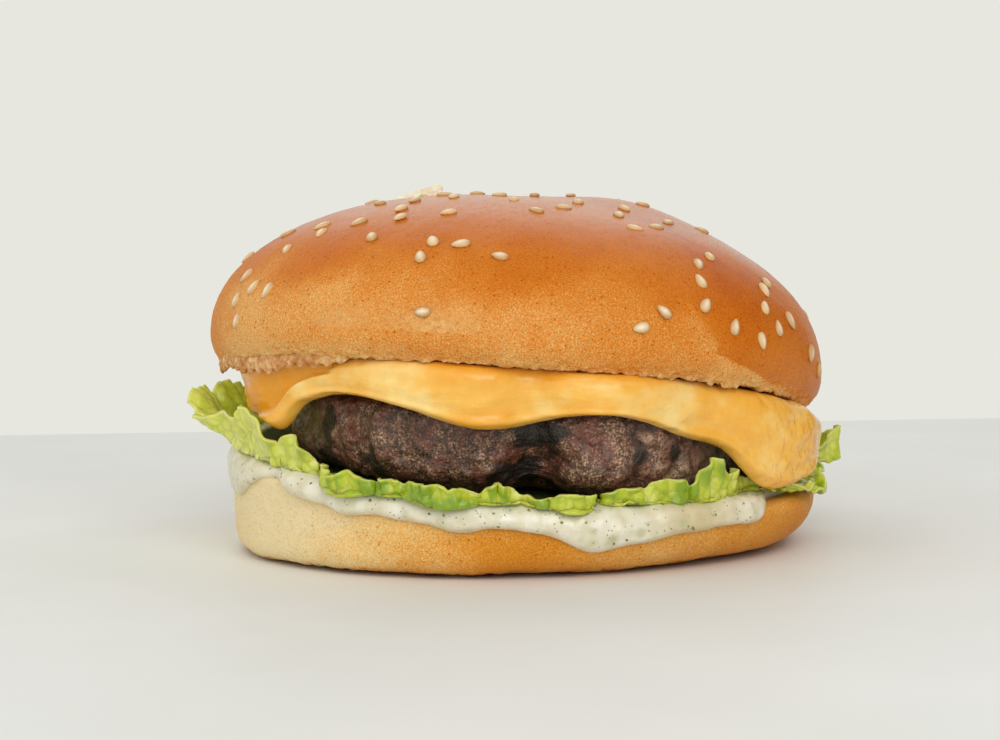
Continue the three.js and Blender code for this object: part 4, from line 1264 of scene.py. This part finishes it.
CROWN_TURN = crown_turn()
CROWN_LIFT = np.array(
    [CROWN_CUT["middle"], 0, CROWN_CUT["height"] + CROWN_CUT["along_x"] * CROWN_CUT["middle"]]
)


def laid_on(points):
    """Points of the level crown brought to where the crown lies."""
    return points @ CROWN_TURN.T + CROWN_LIFT


print("crown leans by", round(math.degrees(math.acos(CROWN_TURN[2, 2])), 1), "degrees")

# %% [markdown]
# The crown's grid starts in the middle of the cut, comes out under the crumb, goes round the
# torn rim and ends on top. Each row knows its share of the fall or the rise, which later says
# how torn and how brown it is.

# %% The crown's grid
turn = bearings(720)
crumb_shares = column((0, 0.7, 5), (0.76, 0.985, 14))
falls = np.linspace(1, 0, 34, endpoint=False)[:, None]
crust_rises = column((0, 1, 80)) ** 0.92
rim_row = rim_point(turn, 1.0 + 0 * turn)
cut_rows = rim_row * crumb_shares[..., None]
cut_rows[..., 2] = bend_at(CROWN_CUT, cut_rows) + 0.35 * rough(cut_rows, 2.5, 103)
cut_rows[0] = (0, 0, 0)
crown_grid = np.concatenate([cut_rows, rim_point(turn, falls), crust_point(turn, crust_rises)])
fall_share = np.concatenate([1 + 0 * crumb_shares, falls, 0 * crust_rises])
rise_share = np.concatenate([0 * crumb_shares - 1, -falls, crust_rises])
print("crown grid:", crown_grid.shape[0], "rows of", crown_grid.shape[1])

# %% [markdown]
# The rim's raggedness is a fine vertical noise that is strong at the very edge and gone two
# millimetres above it, with crumbly pits where the crumb shows. Over the whole dome go very
# shallow dents, because a bun is never quite round.

# %% The crown's relief
crown_bearing = bearing_of(crown_grid)
at_edge = smooth(fall_share, 0.55, 1)
crumbly = 0.55 + bumps_at([(-38, 0.75, 26)], crown_bearing)
ragged = crumbly * rough(crown_grid * (1, 1, 0.6), 1.0, 111, 3)
wide_tear = np.maximum(0, rough(crown_grid * (1, 1, 0), 9, 117, 2))
crown_relief = 0.3 * rough(crown_grid, 22, 121, 2) + 0.05 * rough(crown_grid, 1.4, 123)
crown_relief = crown_relief * smooth(1 - np.abs(rise_share), 0, 0.06)
crown_relief += at_edge * (0.30 * ragged - 0.25 * np.maximum(0, rough(crown_grid, 0.9, 127)))
crown_grid = raised(crown_grid, crown_relief)
crown_grid[..., 2] -= at_edge * (0.36 * ragged + 0.2 * wide_tear - 0.1)
print("crown relief from", round(crown_relief.min(), 2), "to", round(crown_relief.max(), 2))

# %% [markdown]
# Egg wash was brushed over the top and ran down to the rim on the right, and where it lies the
# crust browned and shines. The bare front stayed matt and golden. The colour step at the wash's
# edge is partly painted reflection: the bare front is painted paler for a bright card mirrored
# there, and the wash deeper, most in a band beside its edge, for the darker room mirrored on the
# right. The paler patches low on the front are painted sheen. So one mask says where the wash
# is, and three more follow from it: gloss, bake with painted light, and crumb with painted sheen.

# %% The crown's masks
WASH_EDGE = {"bearing": -53.5, "slope": 22}  # right of it the wash ran down to the rim
past_edge = turn_between(crown_bearing, WASH_EDGE["bearing"]) + WASH_EDGE["slope"] * rise_share
washed_right = smooth(past_edge + 1.5 * rough(crown_grid, 5, 139), -0.8, 1.2)
washed_right = washed_right * (1 - smooth(turn_between(crown_bearing, 30), 0, 30))
washed_top = smooth(rise_share + 0.10 * rough(crown_grid, 9, 137), 0.08, 0.42)
wash = np.clip(np.maximum(washed_top, washed_right) - smooth(fall_share, 0.5, 1), 0, 1)
gloss = wash * (0.3 + 0.7 * smooth(rise_share + 0.05 * rough(crown_grid, 9, 141), 0.3, 0.6))
BARE_TONES = [(-63, 0.13, 14), (-150, -0.10, 30)]  # how much darker or paler the bare front is there: bearing, amount and spread
bare = 0.10 * smooth(rise_share, 0.12, 0.3) + bumps_at(BARE_TONES, crown_bearing)
# painted light in the bake: the extra bake where washed, most at -47, is partly painted reflection
# of the darker room; at -170 the left shoulder is painted darker as painted shade; at -40 the foot
# of the dome is painted lighter as painted light
baked = (
    0.50
    + bumps_at([(-18, 0.05, 42), (-170, 0.10, 14)], crown_bearing)
    + (0.27 + bumps_at([(-47, 0.11, 7)], crown_bearing)) * wash
    + bare * (1 - wash)
    + 0.06 * rough(crown_grid, 16, 131)
    - 0.08 * smooth(fall_share, 0.2, 0.9)
    - bumps_at([(-40, 0.14, 30)], crown_bearing) * (1 - smooth(rise_share, 0, 0.2))
)
torn = smooth(fall_share + 0.25 * ragged, 0.9, 1.04)
# painted sheen: paler patches low on the bare front, painted with the cream of torn bread, stand
# in for soft reflections
painted_sheen_patches = bumps_at([(-105, 0.6, 8), (-124, 0.4, 7)], crown_bearing)
torn = np.maximum(torn, painted_sheen_patches * bell(rise_share, 0.03, 0.06))
CROWN_BROWNS = {0.42: (226, 152, 74), 0.62: (212, 124, 34), 0.82: (202, 106, 12), 1: (186, 86, 4)}
closed_piece(
    "bun_crown_crust",
    laid_on(crown_grid),
    crust_finish("crown_crust", 0.9, CROWN_BROWNS),
    "crust",
    "bun_crown",
    baked=baked,
    crumb=torn,
    wash=gloss,
)

# %% [markdown]
# ## The torn crumb
# At the left the knife slipped and tore the crumb: soft rags of it hang below the rim. They
# are one long ragged bead along the rim, an ellipse in section, as deep as the crumb hangs.

# %% The hanging crumb
CRUMB = {"from": 176.0, "to": 242.0, "half_width": 0.9, "inside": 1.2}
CRUMB_HANGS = [(190, 1.5, 6), (205, 1.2, 7), (216, 2.0, 6), (229, 1.6, 7)]


def crumb_bead(columns, rows):
    """Rows along the rim, columns round an ellipse that hangs down by bumps, then made ragged."""
    bearing = column((CRUMB["from"], CRUMB["to"], rows))
    taper = np.sin(column((0, math.pi, rows))) ** 0.4
    hang = 0.9 + bumps_at(CRUMB_HANGS, bearing) + 0.5 * np.sin(bearing * 1.9)
    half = taper * (hang + CRUMB["inside"]) / 2
    around = np.radians(bearings(columns))
    rim = rim_point(bearing, 1.0)
    out = np.cos(around) * CRUMB["half_width"] * taper
    p = polar(bearing, off_axis(rim) - 0.5 + out)
    p[..., 2] = rim[..., 2] + CRUMB["inside"] - half + half * np.sin(around)
    ragged = 0.32 * rough(p, 2.2, 151, 4) + 0.2 * np.abs(rough(p, 0.7, 155))
    return laid_on(raised(p, ragged * taper))


RAG_BROWNS = {0.36: (186, 120, 60), 0.5: (222, 166, 104), 0.64: (244, 214, 164)}
rag = Finish("torn_crumb", Roughness=0.8, Subsurface_Weight=0.2, Subsurface_Scale=1 * MM)
rag_brown = rag.done(
    Base_Color=rag.ramp(0.5 * rag.noise(0.9, 3) + 0.5 * rag.noise(4, 2), RAG_BROWNS),
    Normal=rag.bump(rag.noise(0.5, 3), 0.3),
)
closed_piece("torn_crumb_bead", crumb_bead(40, 260), rag_brown, "crust")

# %% [markdown]
# ## The scrap of skin
# Near the top a bit of skin lifted and dried: a thin pale flap. It is a small sheet rooted in
# the crust whose free edge is ragged.

# %% The flap
def rise_at(bearing, radius):
    """The rise at which the dome is as far from the axis as asked, by halving the range."""
    low, high = np.zeros_like(radius), np.ones_like(radius)
    for _ in range(24):
        middle = (low + high) / 2
        outside = off_axis(crust_point(bearing, middle)) > radius
        low, high = np.where(outside, middle, low), np.where(outside, high, middle)
    return low


def flake_grid(columns, rows):
    """Along the crust by u, up by v to a height that grows with u, leaning back as it rises."""
    u = np.linspace(0, 1, columns)[None, :]
    v = column((0, 1, rows))
    x = FLAKE["x"] + (u - 0.5) * FLAKE["length"]
    bearing = np.degrees(np.arctan2(FLAKE["y"] + 0 * x, x))
    foot = crust_point(bearing, rise_at(bearing, np.hypot(x, FLAKE["y"])))
    ragged = FLAKE["rise"] * (0.15 + 0.85 * u) * (1 - smooth(u, 0.9, 1.05))
    grid = np.repeat(foot, rows, axis=0)
    grid[..., 1] += 0.8 * v + 0.4 * np.sin(5 * u) * v
    grid[..., 2] += -FLAKE["root"] + v * (FLAKE["root"] + ragged)
    grid += 0.22 * rough(grid, 1.2, 141)[..., None] * v[..., None]
    return laid_on(grid)


skin = Finish("crust_flake", Roughness=0.45, Subsurface_Weight=0.6, Subsurface_Scale=1 * MM)
pale_skin = skin.done(
    Base_Color=skin.ramp(skin.noise(1.5, 3), {0.3: (238, 222, 190), 0.7: (252, 246, 230)}),
    Normal=skin.bump(skin.noise(0.6, 3), 0.15),
)
flake = make_piece("crust_flake", flat_sheet(flake_grid(40, 16)), pale_skin, "crust")
thicken(flake, FLAKE["wall"])

# %% [markdown]
# ## Sesame seeds
# A sesame seed is a flat teardrop, 3 mm long. Scattering with a particle system would leave
# no mesh of the seeds, so each seed's place is worked out as an array: a bearing that turns by
# the golden angle, a rise that thins the seeds down the sides, and a random turn.

# %% One seed
def seed_shape(columns, rows):
    """A flattened teardrop along x: a sine profile that is fuller towards its round end."""
    a = np.radians(bearings(columns))
    along = -np.cos(column((0, math.pi, rows)))
    girth = np.sqrt(np.maximum(0, 1 - along**2)) * (1 + 0.28 * along)
    x = along * SEED["length"] / 2
    y = girth * np.sin(a) * SEED["width"] / 2
    z = girth * np.cos(a) * SEED["height"] / 2
    return joined_round(points_at(x, y, z))


one_seed = seed_shape(8, 7)
print("one seed has", len(one_seed[1]) * 2 + len(one_seed[2]), "triangles")

# %% [markdown]
# Places by the golden angle are spread as evenly as the florets of a sunflower. Some of them stay
# empty, by a share that depends on the side, as a baker's hand strews more here and less there.

# %% Where the seeds lie
def random_from(start):
    """A repeatable stream of numbers: each is the last times 16807, modulo a prime."""
    state = start
    while True:
        state = state * 16807 % 2147483647
        yield state / 2147483647


STRAY_SEEDS = [  # bearing, rise and turn of the few on the bare front
    (-111.0, 0.390, 208), (-104.5, 0.383, 294), (-111.5, 0.307, 204), (-95.5, 0.333, 258),
    (-107.5, 0.070, 278), (-68.5, 0.065, 286), (-64.0, 0.135, 230),
]
SEED_TRIES = 360  # places that are looked at, filled or not
SEEDS_APART = 3.6  # no two middles lie closer, in millimetres
GOLDEN_TURN = 137.508  # degrees from one place to the next


def seed_share(bearing, rise):
    """The share of places that hold a seed: many on both shoulders, fewer on top, the front
    and the foot of the dome nearly bare."""
    right = 0.62 * bumps_at([(-43, 1, 15)], bearing) * (1 - smooth(rise, 0.55, 0.75))
    left_spread = 9 + 20 * smooth(rise, 0.3, 0.5)
    left = 0.7 * bumps_at([(-148, 1, left_spread)], bearing) * (1 - smooth(rise, 0.6, 0.7))
    back = 0.35 * bumps_at([(90, 1, 75)], bearing) * smooth(rise, 0.05, 0.35)
    return np.maximum.reduce([right, left, back, 0.62 * smooth(rise, 0.5, 0.62)])


def seed_places():
    """Bearing, rise and turn of each seed; on the steep sides they lie along the slope. A place
    too near to an earlier seed stays empty."""
    random = random_from(20261)
    places = list(STRAY_SEEDS)
    for i in range(SEED_TRIES):
        bearing = i * GOLDEN_TURN % 360 + 6 * (next(random) - 0.5)
        rise = 0.99 - ((i + 0.5) / SEED_TRIES) ** 0.5 + 0.03 * (next(random) - 0.5)
        free = smooth(rise, 0.5, 0.7)
        half_turn = 180 * (next(random) < 0.5)
        turn = half_turn + (80 + 280 * free) * (next(random) - 0.5)
        rise = min(max(rise, 0), 0.97)
        taken = np.array(places)
        away = crust_point(taken[:, 0], taken[:, 1]) - crust_point(np.array([bearing]), rise)
        is_free = np.linalg.norm(away, axis=-1).min() > SEEDS_APART
        if next(random) < seed_share(bearing, rise) and is_free:
            places.append((bearing, rise, turn))
    return np.array(places)


places = seed_places()
print(len(places), "seeds, of them on the bare front:", len(STRAY_SEEDS))

# %% [markdown]
# Each seed has to lie flat on the dome. Two short steps on the crust, up and aside, give the
# directions along the surface, and crossing them gives the way out of it.

# %% The seeds laid on the crust
def crust_frames(places, sunk):
    """For each place on the crust: its point and three directions, along, beside and out."""
    bearing, rise, turn = places.T
    here = crust_point(bearing, rise)
    up = crust_point(bearing, rise + 0.01) - here
    aside = crust_point(bearing + 1, rise) - here
    out = np.cross(aside, up)
    out /= np.linalg.norm(out, axis=-1, keepdims=True)
    up /= np.linalg.norm(up, axis=-1, keepdims=True)
    a = np.radians(turn)[:, None]
    along = up * np.cos(a) + np.cross(out, up) * np.sin(a)
    return here + out * sunk, np.stack([along, np.cross(out, along), out], axis=1)


def repeated(shape, places, frames, sizes):
    """One shape copied to many places, each turned by its frame and scaled."""
    points, quads, fans = shape
    copies = np.einsum("vi,nij->nvj", points, frames * sizes[:, None, None]) + places[:, None]
    shift = (np.arange(len(places)) * len(points))[:, None, None]
    return (
        copies.reshape(-1, 3),
        (quads[None] + shift).reshape(-1, 4),
        (fans[None] + shift).reshape(-1, 3),
    )


spots, frames = crust_frames(places, SEED["sunk"])
draws = np.random.default_rng(5)
seed_sizes = draws.uniform(0.92, 1.08, len(places))
seed_points, seed_quads, seed_fans = repeated(one_seed, spots, frames, seed_sizes)
print("seeds from", round(seed_sizes.min(), 2), "to", round(seed_sizes.max(), 2), "times the size")

# %% [markdown]
# Each seed is cream, paler in the middle where it is fullest, and darker at its rim: toasted
# there by a random amount, and painted darker as painted shade where it meets the crust.

# %% The seed finish
sesame = Finish("sesame", Roughness=0.42, Coat_Weight=0.15)
rim_brown_and_shade = sesame.ramp(sesame.mask("toast"), {0.0: (224, 188, 134), 1.0: (198, 152, 94)})
sesame_cream = sesame.done(
    # painted shade: the rim is darker where the seed meets the crust
    Base_Color=sesame.mix(sesame.mask("middle"), rim_brown_and_shade, (252, 233, 202)),
    Normal=sesame.bump(sesame.noise(0.5, 2), 0.06),
)
flatness = np.hypot(one_seed[0][:, 0] / SEED["length"], one_seed[0][:, 1] / SEED["width"]) * 2
make_piece(
    "sesame_seeds",
    (laid_on(seed_points), seed_quads, seed_fans),
    sesame_cream,
    "crust",
    middle=np.tile(1 - smooth(flatness, 0.25, 0.85), len(places)),
    toast=np.repeat(draws.uniform(0, 1, len(places)), len(one_seed[0])),
)

# %% [markdown]
# ## Table, light and camera
# The stage is plain: a pale table top, a pale room behind it, and soft light. A single lamp
# would cut hard shadows, so the room itself is the main light, and a large panel above and a
# little to the right gives the form its direction.

# %% The table
FLOOR_BACK = 0.232  # where the table top ends behind the burger, in metres
FLOOR_SIDE = 2.0  # how far it reaches to both sides and to the front


def table_top():
    """A flat pale panel at height 0."""
    side, back = FLOOR_SIDE, FLOOR_BACK
    corners = [(-side, -side, 0), (side, -side, 0), (side, back, 0), (-side, back, 0)]
    mesh = bpy.data.meshes.new("table_top")
    mesh.from_pydata(corners, [], [(0, 1, 2, 3)])
    finish = Finish("table_paint", Roughness=0.55)
    mottle = finish.ramp(finish.noise(60, 3), {0.3: (230, 231, 228), 0.7: (236, 236, 234)})
    mesh.materials.append(finish.done(Base_Color=mottle))
    panel = bpy.data.objects.new("table_top", mesh)
    bpy.context.scene.collection.objects.link(panel)


table_top()
print("table top ends", FLOOR_BACK, "m behind the burger")

# %% [markdown]
# The room is a pale wall behind the table, brighter above it, and darker right overhead and low
# on the right. A shiny crust mirrors this room, so its bright and dark parts are placed by the
# direction that a ray leaves in. Its nodes are written in the same way as those of a material.

# %% The room
class Room(Finish):
    """The nodes of a world, written like those of a finish."""

    def __init__(self, world):
        world.use_nodes = True
        self.tree = world.node_tree
        self.material = world
        self.shader = self.tree.nodes["Background"]


room = Room(bpy.data.worlds.new("pale_room"))
way = room.node("TexCoord", out=0)
height = room.node("SeparateXYZ", None, {"Vector": way}, out=2)
to_right = room.node("SeparateXYZ", None, {"Vector": way}, out=0)
glow = room.mix(height.between(0.22, 0.4), (231, 231, 224), (252, 252, 248))
glow = room.mix(height.between(0.83, 0.95), glow, (150, 150, 146))
dark_side = to_right.between(0.4, 0.7) * (1 - height.between(0.5, 0.7))
bpy.context.scene.world = room.done(Color=room.mix(dark_side, glow, (128, 118, 104)))
print("the room has", len(room.tree.nodes), "nodes")

# %% [markdown]
# The panel light stands above the right shoulder of the camera. Its size sets how soft the
# shadows are, its distance how evenly it falls.

# %% The panel light
def panel_light(name, place, aim, size, watts):
    """A square light at a place, turned towards a point."""
    data = bpy.data.lights.new(name, "AREA")
    data.size = size
    data.energy = watts
    lamp = bpy.data.objects.new(name, data)
    lamp.location = place
    direction = Vector(aim) - Vector(place)
    lamp.rotation_euler = direction.to_track_quat("-Z", "Y").to_euler()
    bpy.context.scene.collection.objects.link(lamp)


PANEL = {"place": (0.22, -0.95, 0.55), "aim": (0, 0, 0.03), "size": 0.8, "watts": 4.4}
panel_light("soft_panel", **PANEL)
print("panel light:", PANEL["watts"], "W from", PANEL["size"], "m")

# %% [markdown]
# The camera looks along the table at the burger's height, only 4 degrees above level, and
# from half a metre away through a long lens, so the layers show from the side.

# %% The camera
CAMERA = {
    "distance": 0.52,
    "elevation": 4.0,
    "roll": -1.0,
    "focal_pixels": 2737,
    "aim": (0, 0, 0.034),
    "shift": (-0.022, -0.008),  # shares of the picture's width
}
IMAGE_WIDTH = 1000


def place_camera():
    """The camera's axes from its elevation and roll, its lens from the focal length in pixels."""
    rise = math.radians(CAMERA["elevation"])
    roll = math.radians(CAMERA["roll"])
    back = Vector((0, -math.cos(rise), math.sin(rise)))
    level = Vector((1, 0, 0))
    upright = back.cross(level)
    right = level * math.cos(roll) + upright * math.sin(roll)
    up = back.cross(right)
    data = bpy.data.cameras.new("camera")
    data.sensor_width = 36.0
    data.lens = CAMERA["focal_pixels"] / IMAGE_WIDTH * data.sensor_width
    data.shift_x, data.shift_y = CAMERA["shift"]
    camera = bpy.data.objects.new("camera", data)
    placed = Matrix((right, up, back)).transposed().to_4x4()
    placed.translation = Vector(CAMERA["aim"]) + back * CAMERA["distance"]
    camera.matrix_world = placed
    bpy.context.scene.collection.objects.link(camera)
    bpy.context.scene.camera = camera
    print("lens:", round(data.lens, 1), "mm")


place_camera()
bpy.context.scene.view_settings.view_transform = "Standard"
